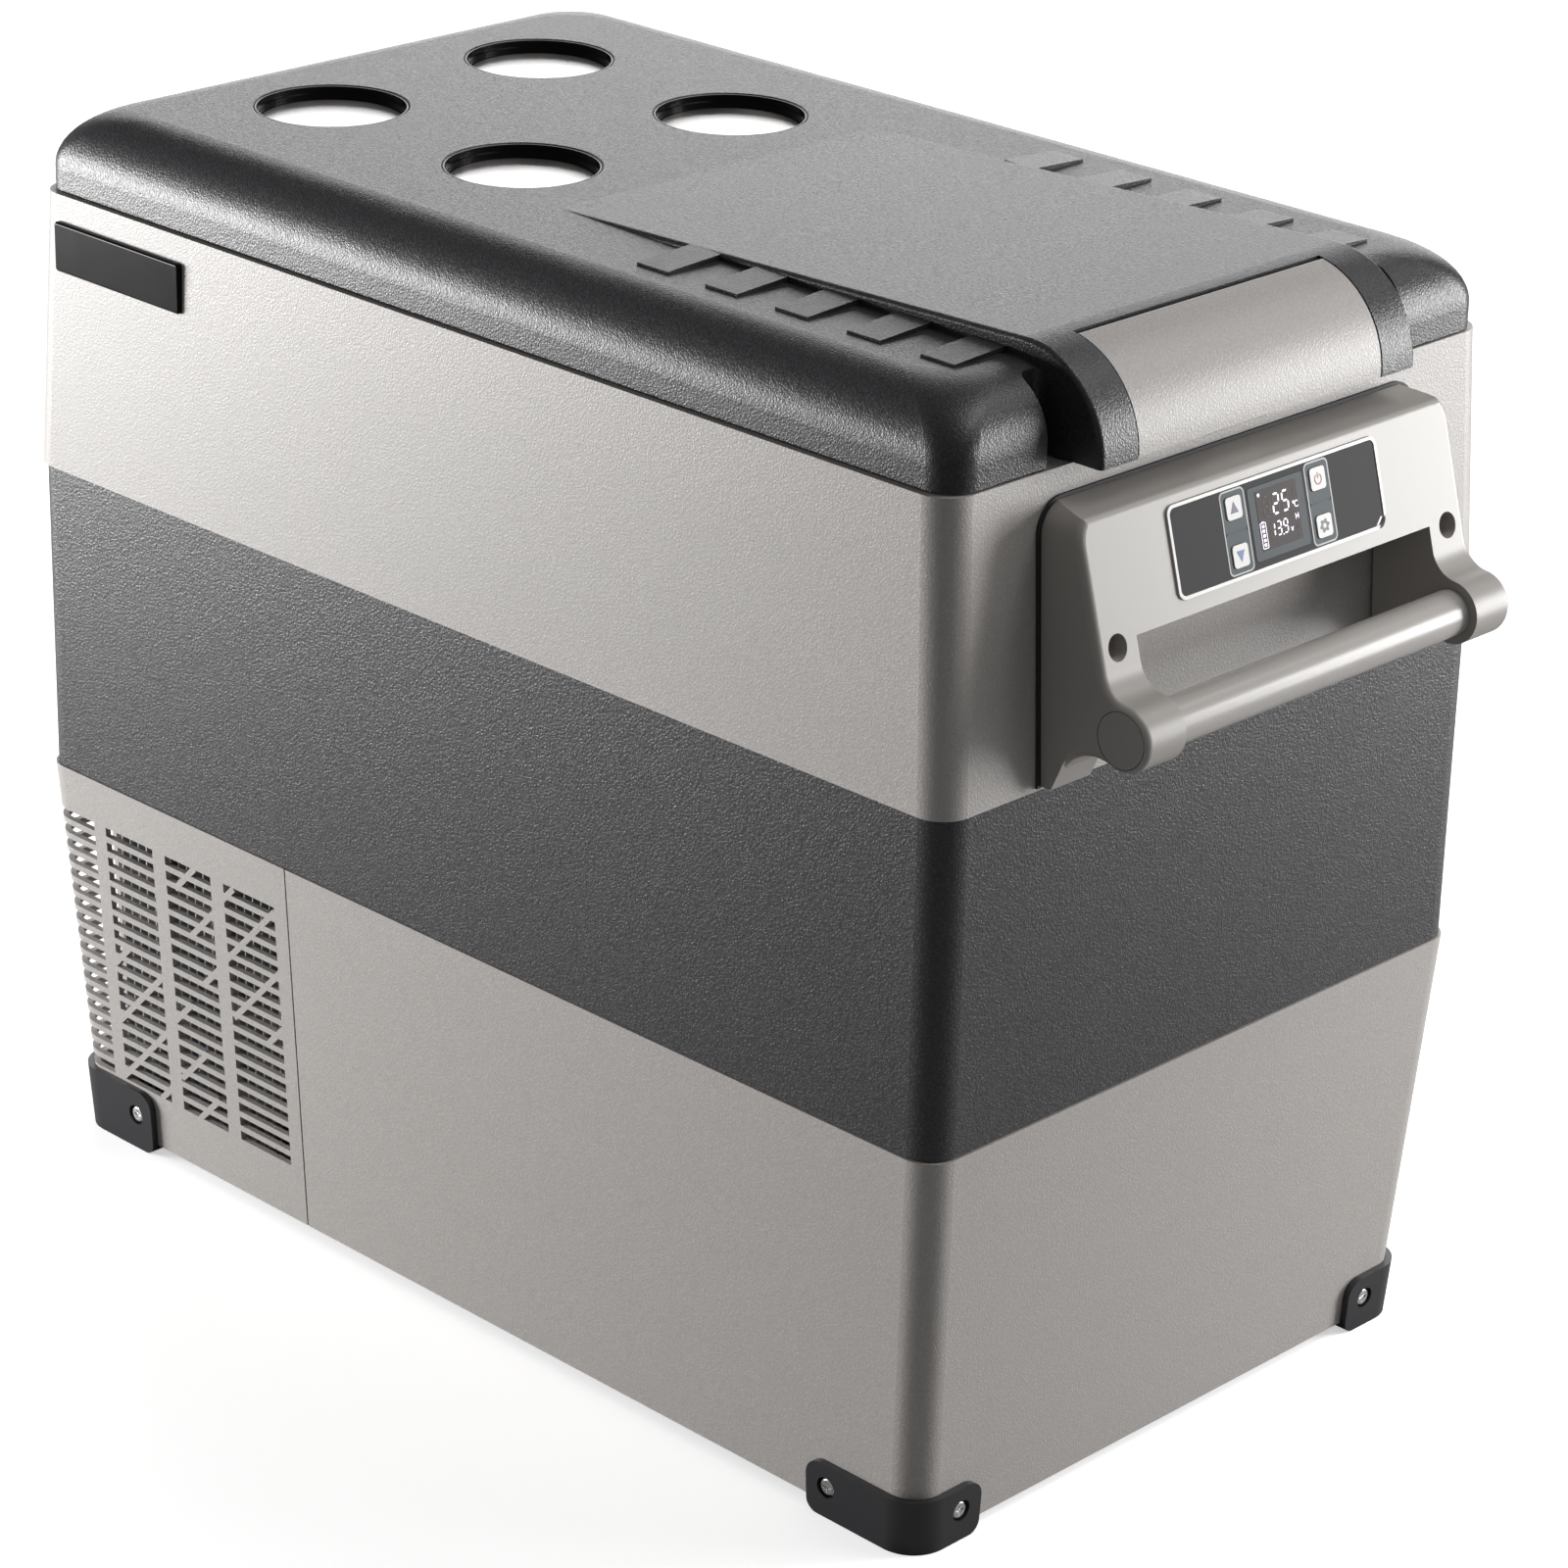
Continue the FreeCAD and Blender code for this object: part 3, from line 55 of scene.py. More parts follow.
# ---------------------------------------------------------------- the light
SKY_LIGHT, SKY_SEEN = 0.18, 0.90             # what the sky gives as light, and what the camera sees of it
FLOOR_LIGHT, FLOOR_SEEN = 0.30, 0.92         # the floor's grey for thrown light, and for the camera
FLOOR_GLOW = 0.55                            # seen by the camera only
AREA_LIGHTS = (                              # name, place, aimed at, width and height, watts
    ("left_box", (-1.78, -1.20, 0.32), (-0.1, -0.17, 0.28), (1.1, 0.64), 67),
    ("right_box", (1.28, 1.65, 0.50), (0.31, 0.05, 0.30), (0.8, 1.0), 48),
    ("back_wall", (-1.95, 2.35, 1.15), (0.0, 0.0, 0.50), (2.8, 1.8), 43),
    ("overhead", (0.9, 0.9, 2.3), (0.1, 0.0, 0.30), (1.2, 1.2), 18))

# ---------------------------------------------------------------- the control panel
PANEL_TILT = math.radians(15.6)
PANEL_CENTRE = Vector((0.3186, 0.0, 0.4478))
PANEL_RIGHT = Vector((0.0, 1.0, 0.0))
PANEL_UP = Vector((-math.sin(PANEL_TILT), 0.0, math.cos(PANEL_TILT)))
PANEL_OUT = Vector((math.cos(PANEL_TILT), 0.0, math.sin(PANEL_TILT)))
KEY_U = 27.2                     # keys lie this far right and left of the middle, millimetres
KEY_V = 10.1                     # and this far above and below it
KEY_HOLE = 5.1                   # half the opening in the panel round a key
# undersides and tops of the thin pieces, in millimetres out of the panel's plane
SCREEN_W = (0.50, 0.80)
MARK_W = (0.80, 0.86)            # marks on the screen
FRAME_W = (0.50, 0.66)
FIELD_W = (0.50, 0.62)
ICON_W = (1.10, 1.17)            # marks on the keys
# seven-segment rows: text, left, low, width, height, stroke, step from digit to digit
DIGIT_ROWS = ((" 25", -9.4, 1.4, 4.4, 9.0, 0.85, 6.0),
              ("139", -6.9, -7.6, 3.1, 6.2, 0.62, 4.2))
DIGIT_LEAN = 0.05                # sideways run of an upright stroke, per unit of height
SEGMENTS = {"1": "bc", "2": "abged", "3": "abgcd", "5": "afgcd", "9": "abcdfg", " ": ""}

# ---------------------------------------------------------------- the lid's seal, in millimetres
# its two edges: half length, half width, corner radius, middle along X
SEAL_OUTER = (262.0, 147.0, 26.0, 0.0)
SEAL_INNER = (253.0, 137.0, 18.0, 1.0)
SEAL_Z = (487.8, 490.9)          # lowest and highest level
SEAL_PROFILE = (                 # share of the way inwards, share of the way up
    (0.00, 1.00), (0.00, 0.80), (0.05, 0.72), (0.14, 0.66), (0.14, 0.56), (0.05, 0.46), (0.01, 0.30),
    (0.05, 0.10), (0.16, 0.00), (0.34, 0.03), (0.50, 0.12), (0.66, 0.03), (0.84, 0.00), (0.95, 0.10),
    (0.99, 0.30), (0.95, 0.46), (0.86, 0.56), (0.86, 0.66), (0.95, 0.72), (1.00, 0.80), (1.00, 1.00))

# ---------------------------------------------------------------- finishes, grain and depth in millimetres
LEATHER = (                      # name, colour, roughness, grain, depth, painted shade in the creases
    ("body_light", (0.46, 0.435, 0.415), 0.42, 1.6, 0.09, 0.18),
    ("body_dark", (0.062, 0.059, 0.064), 0.37, 1.7, 0.17, 0.50),
    ("lid_charcoal", (0.043, 0.042, 0.047), 0.38, 1.5, 0.13, 0.60),
    ("foam_cream", (0.62, 0.52, 0.32), 0.8, 1.5, 0.3, 0.2))
FINE, FINEST = (0.35, 0.02), (0.5, 0.01)     # grain and depth of the satin skins
SATIN = (                        # name, colour, roughness, grain and depth, specular level
    ("bracket_grey", (0.355, 0.335, 0.315), 0.38, FINE, 0.5),
    ("bar_grey", (0.42, 0.40, 0.38), 0.26, FINE, 0.5),
    ("black_satin", (0.020, 0.020, 0.023), 0.42, FINE, 0.65),
    ("black_steel", (0.008, 0.008, 0.009), 0.42, FINE, 0.25),
    ("seal_rubber", (0.022, 0.022, 0.022), 0.65, (0.6, 0.03), 0.5),
    ("liner_white", (0.68, 0.69, 0.69), 0.32, FINE, 0.5),
    ("board_green", (0.01, 0.09, 0.04), 0.35, FINE, 0.5),
    ("lamp_lens", (0.80, 0.80, 0.76), 0.25, FINE, 0.5),
    ("basket_grey", (0.45, 0.46, 0.47), 0.35, FINE, 0.5),
    ("bezel_white", (0.66, 0.65, 0.63), 0.30, FINE, 0.5),
    ("overlay_dark", (0.034, 0.033, 0.034), 0.55, FINEST, 0.1),
    ("screen_glass", (0.060, 0.072, 0.078), 0.50, FINEST, 0.15),
    ("key_white", (0.60, 0.59, 0.575), 0.42, FINE, 0.5),
    # the rest are on pieces that this script adds
    # painted shade: black strip inside the vent cover's seams, standing for the shadow in the gaps
    ("seam_black", (0.006, 0.006, 0.006), 0.7, FINE, 0.1),
    ("display_glass", (0.034, 0.024, 0.021), 0.45, FINE, 0.12),
    ("display_ghost", (0.075, 0.055, 0.046), 0.45, FINE, 0.12),
    ("key_field", (0.068, 0.086, 0.092), 0.50, FINEST, 0.15),
    ("print_grey", (0.36, 0.37, 0.37), 0.45, FINE, 0.5),
    ("print_navy", (0.020, 0.018, 0.075), 0.45, FINE, 0.5),
    ("print_blue", (0.012, 0.055, 0.26), 0.45, FINE, 0.5),
    ("print_red", (0.24, 0.055, 0.045), 0.45, FINE, 0.5),
    ("print_dark", (0.018, 0.018, 0.021), 0.45, FINE, 0.5))
GLOSS = (("black_gloss", (0.004, 0.004, 0.005), 0.12, 0.10),)      # name, colour, roughness, specular level
METAL = (                        # name, colour, roughness
    ("cup_silver", (0.86, 0.84, 0.83), 0.38),
    ("bright_steel", (0.86, 0.86, 0.85), 0.30),
    ("fin_aluminium", (0.70, 0.71, 0.73), 0.32),
    ("pipe_copper", (0.78, 0.42, 0.26), 0.28))
METAL_GRAIN, METAL_DEPTH = 0.25, 0.01

MIX_FACTOR, MIX_FIRST, MIX_SECOND, MIX_RESULT = 0, 6, 7, 2         # sockets of a Mix node set to colours


def make_camera():
    """The photographed view: a long lens, level to within a degree and a half."""
    az, el = CAMERA_AZIMUTH, CAMERA_ELEVATION
    back = Vector((math.sin(az) * math.cos(el), -math.cos(az) * math.cos(el), math.sin(el)))
    right = Vector((0, 0, 1)).cross(back).normalized()
    up = back.cross(right)
    rolled_right = right * math.cos(CAMERA_ROLL) + up * math.sin(CAMERA_ROLL)
    rolled_up = up * math.cos(CAMERA_ROLL) - right * math.sin(CAMERA_ROLL)
    data = bpy.data.cameras.new("camera")
    data.lens = LENS_MM
    data.sensor_width = SENSOR_MM
    data.clip_end = 50.0
    camera = bpy.data.objects.new("camera", data)
    turn = Matrix((rolled_right, rolled_up, back)).transposed().to_4x4()
    camera.matrix_world = Matrix.Translation(CAMERA_AT) @ turn
    bpy.context.scene.collection.objects.link(camera)
    bpy.context.scene.camera = camera


def area_light(name, place, target, size, watts):
    data = bpy.data.lights.new(name, "AREA")
    data.shape = "RECTANGLE"
    data.size, data.size_y = size
    data.energy = watts
    light = bpy.data.objects.new(name, data)
    heading = (Vector(target) - Vector(place)).to_track_quat("-Z", "Y")
    light.matrix_world = Matrix.Translation(Vector(place)) @ heading.to_matrix().to_4x4()
    bpy.context.scene.collection.objects.link(light)


def make_studio():
    """Two low boxes that graze the near faces, a wall far behind, an overhead, and a pale dim sky."""
    world = bpy.data.worlds.new("studio")
    world.use_nodes = True
    tree = world.node_tree
    background = tree.nodes["Background"]
    background.inputs["Color"].default_value = (1.0, 1.0, 1.0, 1.0)
    seen = tree.nodes.new("ShaderNodeLightPath").outputs["Is Camera Ray"]
    strength = tree.nodes.new("ShaderNodeMapRange")
    strength.inputs["To Min"].default_value = SKY_LIGHT
    strength.inputs["To Max"].default_value = SKY_SEEN
    tree.links.new(seen, strength.inputs["Value"])
    tree.links.new(strength.outputs["Result"], background.inputs["Strength"])
    bpy.context.scene.world = world
    bpy.context.scene.view_settings.view_transform = "Standard"
    for row in AREA_LIGHTS:
        area_light(*row)


def make_floor():
    """Pale floor that looks brighter than the light it throws back at the object."""
    bpy.ops.mesh.primitive_plane_add(size=60.0, location=(0, 0, 0))
    floor = bpy.context.object
    floor.name = "floor"
    g = Graph("floor_white")
    seen = g.add("ShaderNodeLightPath").outputs["Is Camera Ray"]
    g.colour(g.mix(seen, (FLOOR_LIGHT,) * 3, (FLOOR_SEEN,) * 3))
    g.set("Roughness", 0.8)
    g.set("Specular IOR Level", 0.2)
    g.set("Emission Color", (1.0, 1.0, 1.0, 1.0))
    g.link(g.math("MULTIPLY", seen, FLOOR_GLOW), g.shader.inputs["Emission Strength"])
    floor.data.materials.append(g.material)


# ---------------------------------------------------------------- materials
class Graph:
    """A material's node tree with short calls for what the finishes share."""

    def __init__(self, name):
        self.material = bpy.data.materials.new(name)
        self.material.use_nodes = True
        self.tree = self.material.node_tree
        self.shader = self.tree.nodes["Principled BSDF"]
        self.point = self.add("ShaderNodeTexCoord").outputs["Object"]

    def add(self, kind, **settings):
        node = self.tree.nodes.new(kind)
        for key, value in settings.items():
            setattr(node, key, value)
        return node

    def link(self, output, target):
        self.tree.links.new(output, target)

    def set(self, socket, value):
        self.shader.inputs[socket].default_value = value

    def noise(self, scale, detail=2.0, roughness=0.5):
        node = self.add("ShaderNodeTexNoise")
        node.inputs["Scale"].default_value = scale
        node.inputs["Detail"].default_value = detail
        node.inputs["Roughness"].default_value = roughness
        self.link(self.point, node.inputs["Vector"])
        return node.outputs["Fac"]

    def cells(self, scale):
        """Distance to the nearest edge of a pattern of cells."""
        node = self.add("ShaderNodeTexVoronoi", feature="DISTANCE_TO_EDGE")
        node.inputs["Scale"].default_value = scale
        self.link(self.point, node.inputs["Vector"])
        return node.outputs["Distance"]

    def spread(self, value, low, high, to_low=0.0, to_high=1.0):
        """The range from low to high stretched over another range."""
        node = self.add("ShaderNodeMapRange")
        for socket, number in zip(("From Min", "From Max", "To Min", "To Max"), (low, high, to_low, to_high)):
            node.inputs[socket].default_value = number
        self.link(value, node.inputs["Value"])
        return node.outputs["Result"]

    def math(self, operation, a, b):
        node = self.add("ShaderNodeMath", operation=operation)
        for socket, value in zip(node.inputs, (a, b)):
            if isinstance(value, (int, float)):
                socket.default_value = value
            else:
                self.link(value, socket)
        return node.outputs[0]

    def mix(self, factor, first, second):
        """Colour between two, by a factor from 0 to 1."""
        node = self.add("ShaderNodeMix", data_type="RGBA")
        for socket, colour in ((node.inputs[MIX_FIRST], first), (node.inputs[MIX_SECOND], second)):
            if isinstance(colour, tuple):
                socket.default_value = (*colour, 1.0)
            else:
                self.link(colour, socket)
        self.link(factor, node.inputs[MIX_FACTOR])
        return node.outputs[MIX_RESULT]

    def colour(self, source):
        self.link(source, self.shader.inputs["Base Color"])

    def rough(self, source):
        self.link(source, self.shader.inputs["Roughness"])

    def bump(self, height, strength, distance):
        node = self.add("ShaderNodeBump")
        node.inputs["Strength"].default_value = strength
        node.inputs["Distance"].default_value = distance
        self.link(height, node.inputs["Height"])
        self.link(node.outputs["Normal"], self.shader.inputs["Normal"])


def shade(colour, factor):
    """The colour made lighter or darker."""
    return tuple(min(1.0, c * factor) for c in colour)


def leather_plastic(name, colour, roughness, grain_mm, depth_mm, painted_crease_shade):
    """Moulded plastic with a leather grain: small pebbles parted by shallow creases, with painted shade
    darkening the creases.
    """
    g = Graph(name)
    creases = g.spread(g.cells(1000.0 / grain_mm), 0.0, 0.35)
    fine = g.noise(1100.0 / grain_mm, 2.0, 0.6)
    height = g.math("ADD", g.math("MULTIPLY", creases, 0.5), fine)
    g.bump(height, 1.0, depth_mm / 1000.0)
    tone = g.mix(g.noise(7.0, 4.0, 0.6), shade(colour, 0.97), shade(colour, 1.03))
    # painted shade: the colour is darkened in the creases of the grain, where shade would fall
    g.colour(g.mix(g.spread(height, 0.45, 1.15), shade(colour, 1.0 - painted_crease_shade), tone))
    g.rough(g.spread(fine, 0.3, 0.7, roughness - 0.05, roughness + 0.07))
    return g.material


def satin_plastic(name, colour, roughness, skin, specular):
    """Smooth moulded plastic with a spark-eroded satin skin and faint flow marks."""
    grain_mm, depth_mm = skin
    g = Graph(name)
    fine = g.noise(1000.0 / grain_mm, 2.0, 0.5)
    flow = g.noise(6.0, 2.0, 0.5)
    g.bump(fine, 0.35, depth_mm / 1000.0)
    g.colour(g.mix(flow, shade(colour, 0.98), shade(colour, 1.02)))
    g.rough(g.spread(fine, 0.2, 0.8, roughness - 0.03, roughness + 0.03))
    g.set("Specular IOR Level", specular)
    return g.material


def gloss_plastic(name, colour, roughness, specular):
    """Polished plastic, faintly uneven."""
    g = Graph(name)
    wave = g.noise(60.0, 2.0, 0.5)
    g.colour(g.mix(g.noise(12.0), shade(colour, 0.9), shade(colour, 1.1)))
    g.rough(g.spread(wave, 0.2, 0.8, roughness * 0.85, roughness * 1.2))
    g.set("Specular IOR Level", specular)
    return g.material


def metal(name, colour, roughness):
    """Metal with a fine even texture."""
    g = Graph(name)
    grain = g.noise(1000.0 / METAL_GRAIN, 2.0, 0.6)
    g.bump(grain, 0.3, METAL_DEPTH / 1000.0)
    g.colour(g.mix(g.spread(grain, 0.3, 0.7), shade(colour, 0.92), shade(colour, 1.06)))
    g.rough(g.spread(g.noise(35.0, 3.0), 0.3, 0.7, roughness - 0.05, roughness + 0.07))
    g.set("Metallic", 1.0)
    return g.material


def glow(name, colour, strength):
    """Lit part of the screen."""
    g = Graph(name)
    g.colour(g.mix(g.noise(400.0), shade(colour, 0.97), colour))
    g.set("Emission Color", (*colour, 1.0))
    g.set("Emission Strength", strength)
    return g.material


def finish_materials():
    """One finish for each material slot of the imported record, and those of the added pieces."""
    tables = ((leather_plastic, LEATHER), (satin_plastic, SATIN), (gloss_plastic, GLOSS), (metal, METAL))
    return {row[0]: make(*row) for make, rows in tables for row in rows}


def dress_nodes(finishes):
    """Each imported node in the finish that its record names."""
    for entry in frame["record"]["subparts"]:
        node = NODES[entry["node"]]
        node.data.materials.clear()
        node.data.materials.append(finishes[entry["material_slot"]])


# ---------------------------------------------------------------- added pieces
def on_panel(u, v, w=0.0):
    """A point of the tilted panel from millimetres right, up and out of it."""
    return PANEL_CENTRE + (PANEL_RIGHT * u + PANEL_UP * v + PANEL_OUT * w) / 1000.0


def mesh_piece(name, bm, finish, body, smooth=False):
    """Object made of a bmesh, in its finish, riding on a body."""
    bmesh.ops.recalc_face_normals(bm, faces=bm.faces)
    mesh = bpy.data.meshes.new(name)
    bm.to_mesh(mesh)
    bm.free()
    piece = bpy.data.objects.new(name, mesh)
    bpy.context.scene.collection.objects.link(piece)
    mesh.materials.append(finish)
    if smooth:
        mesh.shade_smooth()
    else:
        mesh.shade_flat()
    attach(piece, body)
    return piece


def add_plate(bm, outline, w0, w1):
    """Closed plate on the panel between two heights, from an outline in u and v."""
    low = [bm.verts.new(on_panel(u, v, w0)) for u, v in outline]
    high = [bm.verts.new(on_panel(u, v, w1)) for u, v in outline]
    bm.faces.new(low)
    bm.faces.new(high)
    for i in range(len(outline)):
        j = (i + 1) % len(outline)
        bm.faces.new((low[i], low[j], high[j], high[i]))


def add_frame(bm, outer, inner, w0, w1):
    """Closed flat ring on the panel between two outlines with as many points."""
    rings = [[bm.verts.new(on_panel(u, v, w)) for u, v in line]
             for line, w in ((outer, w0), (outer, w1), (inner, w1), (inner, w0))]
    for a, b in zip(rings, rings[1:] + rings[:1]):
        for i in range(len(outer)):
            j = (i + 1) % len(outer)
            bm.faces.new((a[i], a[j], b[j], b[i]))


def rounded_outline(half_u, half_v, radius, centre=(0.0, 0.0), steps=6):
    """Rectangle with round corners; each corner starts at its own share of half a turn."""
    points = []
    corners = ((1, 1, 0.0), (-1, 1, 0.5), (-1, -1, 1.0), (1, -1, 1.5))
    for su, sv, start in corners:
        for i in range(steps + 1):
            angle = math.pi * (start + 0.5 * i / steps)
            points.append((centre[0] + su * (half_u - radius) + radius * math.cos(angle),
                           centre[1] + sv * (half_v - radius) + radius * math.sin(angle)))
    return points


def circle_outline(radius, centre, steps, start=0.0, sweep=2 * math.pi):
    """Points of a circle or an arc; the end of the sweep itself is left out."""
    return [(centre[0] + radius * math.cos(start + sweep * i / steps),
             centre[1] + radius * math.sin(start + sweep * i / steps)) for i in range(steps)]


def segment_outline(segment, left, low, width, height, stroke):
    """One bar of a seven-segment digit, pointed at both ends, leaning a little to the right."""
    half = gap = stroke / 2
    middle, top, right = low + height / 2, low + height, left + width
    across = {"a": top - half, "g": middle, "d": low + half}
    upright = {"f": (left + half, middle), "b": (right - half, middle),
               "e": (left + half, low), "c": (right - half, low)}
    if segment in across:
        y, x0, x1 = across[segment], left + half + gap, right - half - gap
        line = [(x0, y), (x0 + half, y + half), (x1 - half, y + half),
                (x1, y), (x1 - half, y - half), (x0 + half, y - half)]
    else:
        x, start = upright[segment]
        lower_cut, upper_cut = (0.0, half) if start == middle else (half, 0.0)
        y0, y1 = start + lower_cut + gap, start + height / 2 - upper_cut - gap
        line = [(x, y0), (x + half, y0 + half), (x + half, y1 - half),
                (x, y1), (x - half, y1 - half), (x - half, y0 + half)]
    return [(u + (v - low) * DIGIT_LEAN, v) for u, v in line]


def add_digits(lit, unlit, text, left, low, width, height, stroke, step):
    """Row of seven-segment digits; the segments that a digit leaves out are added to unlit."""
    for i, digit in enumerate(text):
        for segment in "abcdefg":
            outline = segment_outline(segment, left + i * step, low, width, height, stroke)
            add_plate(lit if segment in SEGMENTS[digit] else unlit, outline, *MARK_W)


def add_bar(bm, u0, v0, u1, v1, stroke):
    """Straight stroke between two points of the screen."""
    length = math.hypot(u1 - u0, v1 - v0)
    du, dv = -(v1 - v0) / length * stroke / 2, (u1 - u0) / length * stroke / 2
    add_plate(bm, [(u0 + du, v0 + dv), (u1 + du, v1 + dv), (u1 - du, v1 - dv), (u0 - du, v0 - dv)], *MARK_W)


def make_display(finishes):
    """Smoked screen with a lit temperature, a lit voltage, a battery gauge and unlit marks."""
    screen = bmesh.new()
    add_plate(screen, rounded_outline(13.1, 12.7, 0.8, (0.0, 0.7)), *SCREEN_W)
    mesh_piece("display_screen", screen, finishes["display_glass"], "body")
    lit, unlit = bmesh.new(), bmesh.new()
    for row in DIGIT_ROWS:
        add_digits(lit, unlit, *row)
    # degree ring, C and decimal point
    degree, unit, point = (9.9, 4.0), (11.8, 3.0), (1.2, -7.6)
    add_frame(lit, circle_outline(0.62, degree, 16), circle_outline(0.34, degree, 16), *MARK_W)
    arc = (math.radians(45), math.radians(286))
    outer = circle_outline(1.45, unit, 18, *arc)
    inner = circle_outline(1.08, unit, 18, *arc)
    add_plate(lit, outer + inner[::-1], *MARK_W)
    add_plate(lit, circle_outline(0.32, point, 10), *MARK_W)
    letter_v = ((6.3, -5.8, 7.0, -7.5), (7.7, -5.8, 7.0, -7.5))
    letter_h = ((10.3, -0.9, 10.3, -3.3), (11.9, -0.9, 11.9, -3.3), (10.3, -2.1, 11.9, -2.1))
    star = ((-11.9, 11.6, -10.3, 11.6), (-11.5, 10.9, -10.7, 12.3), (-10.7, 10.9, -11.5, 12.3))
    letter_f = ((10.6, 7.4, 10.6, 9.8), (10.6, 9.8, 12.0, 9.8), (10.6, 8.7, 11.7, 8.7))
    letter_m = ((10.3, -7.7, 10.3, -5.5), (11.9, -7.7, 11.9, -5.5), (10.3, -5.5, 11.1, -6.6),
                (11.1, -6.6, 11.9, -5.5))
    letter_l = ((10.3, -11.2, 10.3, -9.0), (10.3, -11.2, 11.6, -11.2))
    for bm, mark in ((lit, letter_v), (lit, letter_h), (lit, star),
                     (unlit, letter_f), (unlit, letter_m), (unlit, letter_l)):
        for bar in mark:
            add_bar(bm, *bar, 0.36)
    # battery: case, cap and five cells
    case = (-10.9, -5.6)
    add_frame(lit, rounded_outline(1.85, 5.5, 0.5, case), rounded_outline(1.55, 5.2, 0.3, case), *MARK_W)
    add_bar(lit, -11.5, 0.2, -10.3, 0.2, 0.4)
    for i in range(5):
        add_plate(lit, rounded_outline(0.75, 0.62, 0.2, (-10.9, -9.5 + i * 1.95), 2), *MARK_W)
    mesh_piece("display_lit", lit, glow("display_lit", (0.90, 0.85, 1.0), 1.0), "body")
    mesh_piece("display_unlit", unlit, finishes["display_ghost"], "body")


def make_key_frames(finishes):
    """Printed outline round each pair of keys, and the lighter field that it holds."""
    lines, fields = bmesh.new(), bmesh.new()
    for u in (-KEY_U, KEY_U):
        outer, inner = rounded_outline(7.85, 17.8, 2.6, (u, 0.0)), rounded_outline(7.15, 17.1, 2.0, (u, 0.0))
        add_frame(lines, outer, inner, *FRAME_W)
        for side in (-1, 1):
            field = rounded_outline(7.1, 8.55, 1.9, (u, side * (KEY_V - 1.5)))
            hole = rounded_outline(KEY_HOLE, KEY_HOLE, 1.9, (u, side * KEY_V))
            add_frame(fields, field, hole, *FIELD_W)
    mesh_piece("key_frames", lines, finishes["print_grey"], "body")
    mesh_piece("key_fields", fields, finishes["key_field"], "body")


def make_arrow(name, finish, body, way):
    """Triangle on the upper left key, pointing up (1), or on the lower left one, pointing down (-1)."""
    half, base, tip = 2.5, way * (KEY_V - 2.2), way * (KEY_V + 2.7)
    arrow = bmesh.new()
    add_plate(arrow, [(-KEY_U - half, base), (-KEY_U + half, base), (-KEY_U, tip)], *ICON_W)
    mesh_piece(name, arrow, finish, body)


def make_key_icons(finishes):
    """Printed marks on the keys, each riding on its own key."""
    make_arrow("mark_up", finishes["print_navy"], "button_up", 1)
    make_arrow("mark_down", finishes["print_blue"], "button_down", -1)
    # ring open at the top, with an upright stroke in the gap
    power = bmesh.new()
    centre, arc = (KEY_U, KEY_V - 0.3), (math.radians(122), math.radians(306))
    outer = circle_outline(2.45, centre, 30, *arc)
    inner = circle_outline(1.80, centre, 30, *arc)
    for i in range(len(outer) - 1):
        add_plate(power, [outer[i], outer[i + 1], inner[i + 1], inner[i]], *ICON_W)
    add_plate(power, rounded_outline(0.3, 1.35, 0.2, (KEY_U, KEY_V + 1.35), 2), *ICON_W)
    mesh_piece("mark_power", power, finishes["print_red"], "button_power")
    # gear wheel with a bore
    gear = bmesh.new()
    teeth, per_tooth = 6, 6
    tip_radius, root_radius, bore_radius = 3.0, 2.25, 1.1
    rim, bore = [], []
    for i in range(teeth * per_tooth):
        angle = 2 * math.pi * i / (teeth * per_tooth)
        radius = tip_radius if i % per_tooth < per_tooth / 2 else root_radius
        rim.append((KEY_U + radius * math.cos(angle), -KEY_V + radius * math.sin(angle)))
        bore.append((KEY_U + bore_radius * math.cos(angle), -KEY_V + bore_radius * math.sin(angle)))
    add_frame(gear, rim, bore, *ICON_W)
    mesh_piece("mark_settings", gear, finishes["print_dark"], "button_settings")


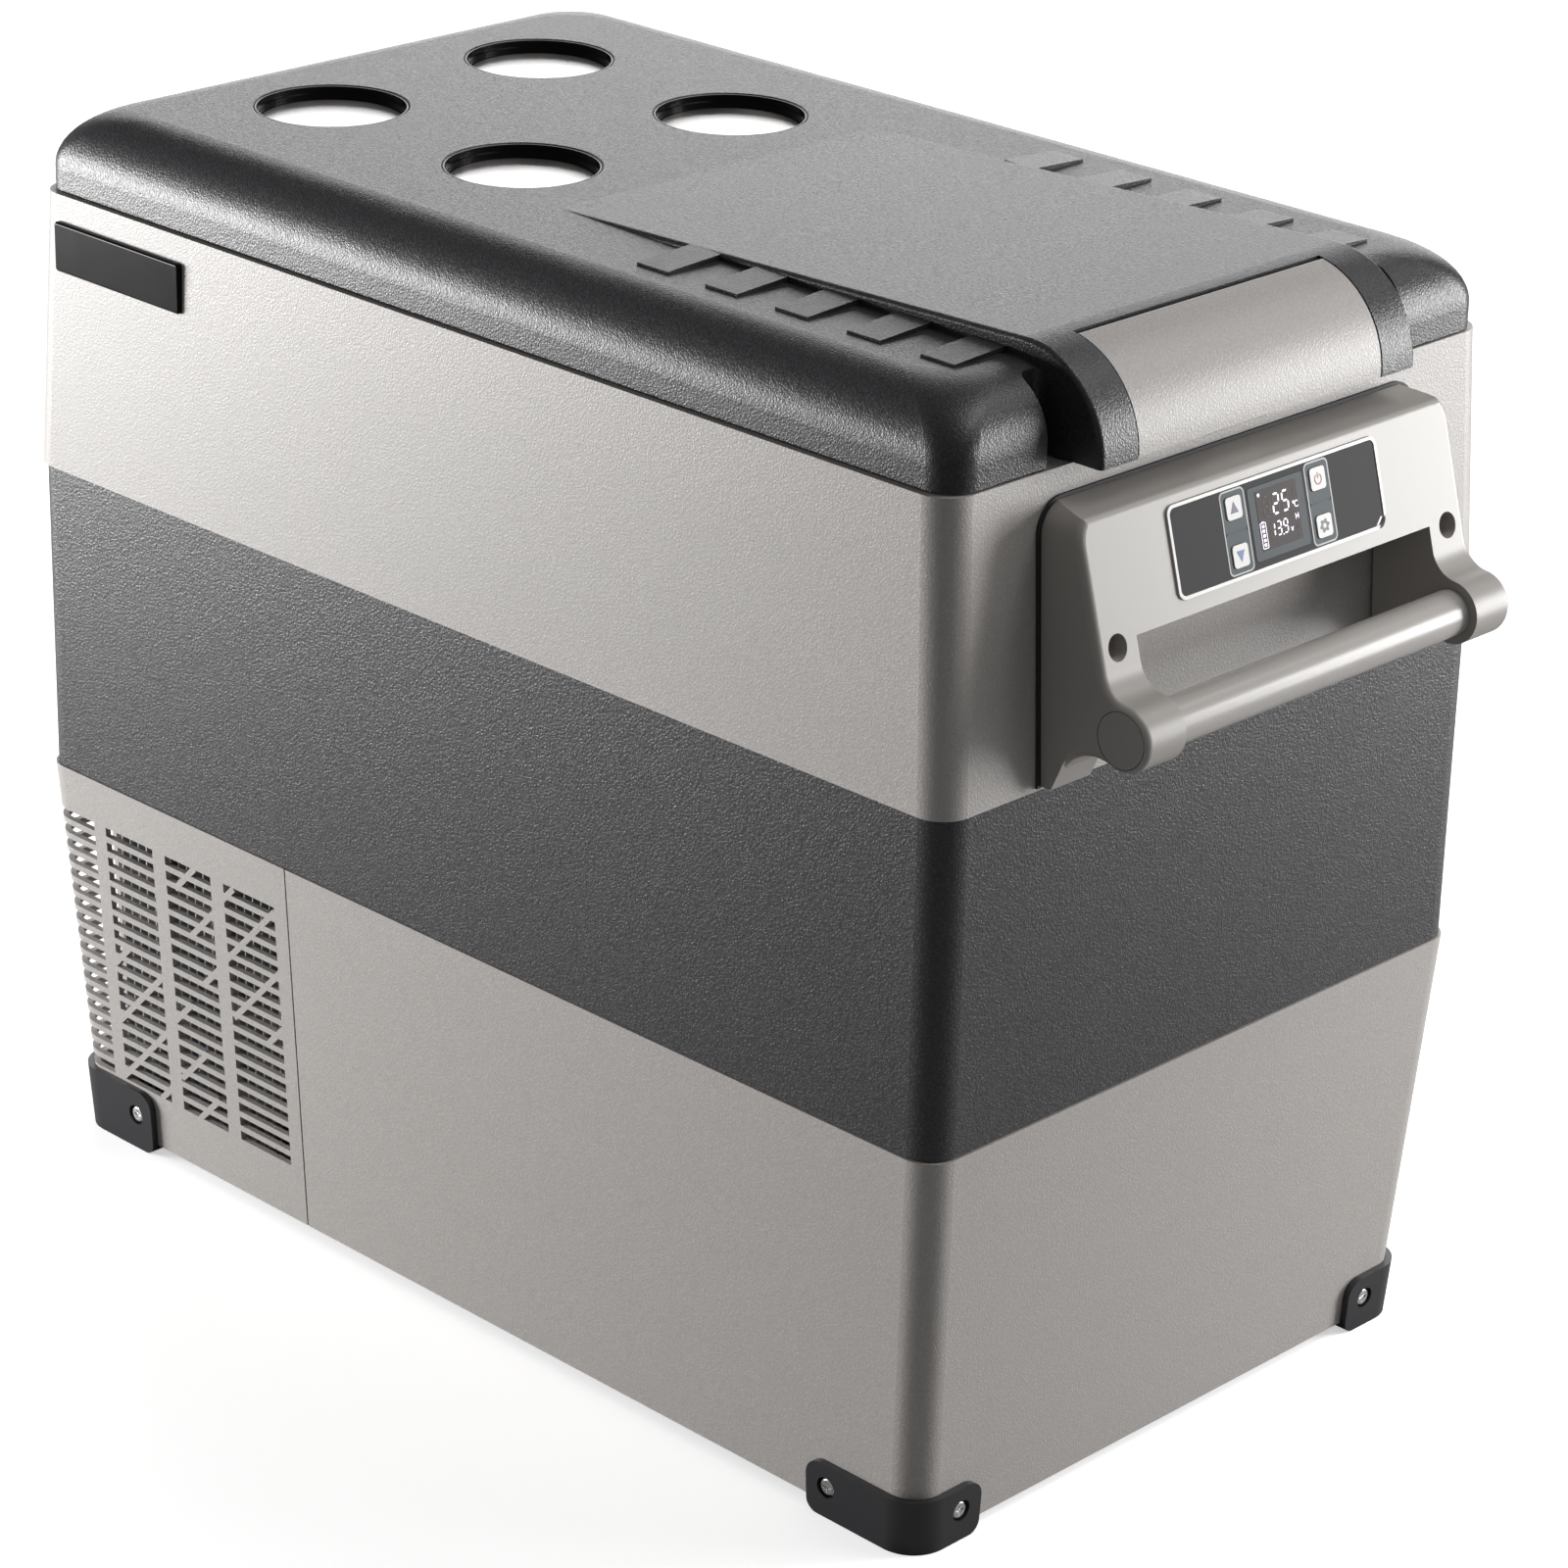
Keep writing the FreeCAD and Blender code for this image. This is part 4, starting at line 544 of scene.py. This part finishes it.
def make_lid_seal(finishes):
    """Soft seal round the lid: a strip let into the lining, a waist, and two cushions below it."""
    bm = bmesh.new()
    rings = []
    outlines = [rounded_outline(half_x, half_y, radius, (middle, 0.0), 8)
                for half_x, half_y, radius, middle in (SEAL_OUTER, SEAL_INNER)]
    for inwards, up in SEAL_PROFILE:
        z = SEAL_Z[0] + (SEAL_Z[1] - SEAL_Z[0]) * up
        line = [Vector((*a, z)).lerp(Vector((*b, z)), inwards) / 1000.0 for a, b in zip(*outlines)]
        rings.append([bm.verts.new(point) for point in line])
    for near, far in zip(rings, rings[1:] + rings[:1]):
        for i in range(len(near)):
            j = (i + 1) % len(near)
            bm.faces.new((near[i], near[j], far[j], far[i]))
    seal = mesh_piece("lid_seal", bm, finishes["seal_rubber"], "lid", smooth=True)
    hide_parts("lid_gasket")


def make_cover_seam(finishes):
    """Black strip set into the two upright seams where the vent cover meets the lower band: painted shade
    standing for the shadow inside the gaps.
    """
    cover = NODES["vent_cover"]
    points = [cover.matrix_world @ vertex.co for vertex in cover.data.vertices]
    edge = max(p.x for p in points)
    on_edge, same_level = 0.0002, 0.001
    width, sink, depth = 0.0008, 0.0004, 0.0022
    section = ((0.0, sink), (width, sink), (width, sink + depth), (0.0, sink + depth))
    bm = bmesh.new()
    for side in (-1, 1):
        rim = [p for p in points if edge - p.x < on_edge and p.y * side > 0]
        rings = []
        for z in (min(p.z for p in rim), max(p.z for p in rim)):
            face = max(p.y * side for p in rim if abs(p.z - z) < same_level)
            corners = [Vector((edge + x, side * (face - inwards), z)) for x, inwards in section]
            rings.append([bm.verts.new(corner) for corner in corners])
        bm.faces.new(rings[0])
        bm.faces.new(rings[1])
        for i in range(len(section)):
            j = (i + 1) % len(section)
            bm.faces.new((rings[0][i], rings[0][j], rings[1][j], rings[1][i]))
    mesh_piece("cover_seam_shade", bm, finishes["seam_black"], "body")


finishes = finish_materials()
make_camera()
make_studio()
make_floor()
dress_nodes(finishes)
make_display(finishes)
make_key_frames(finishes)
make_key_icons(finishes)
make_lid_seal(finishes)
make_cover_seam(finishes)
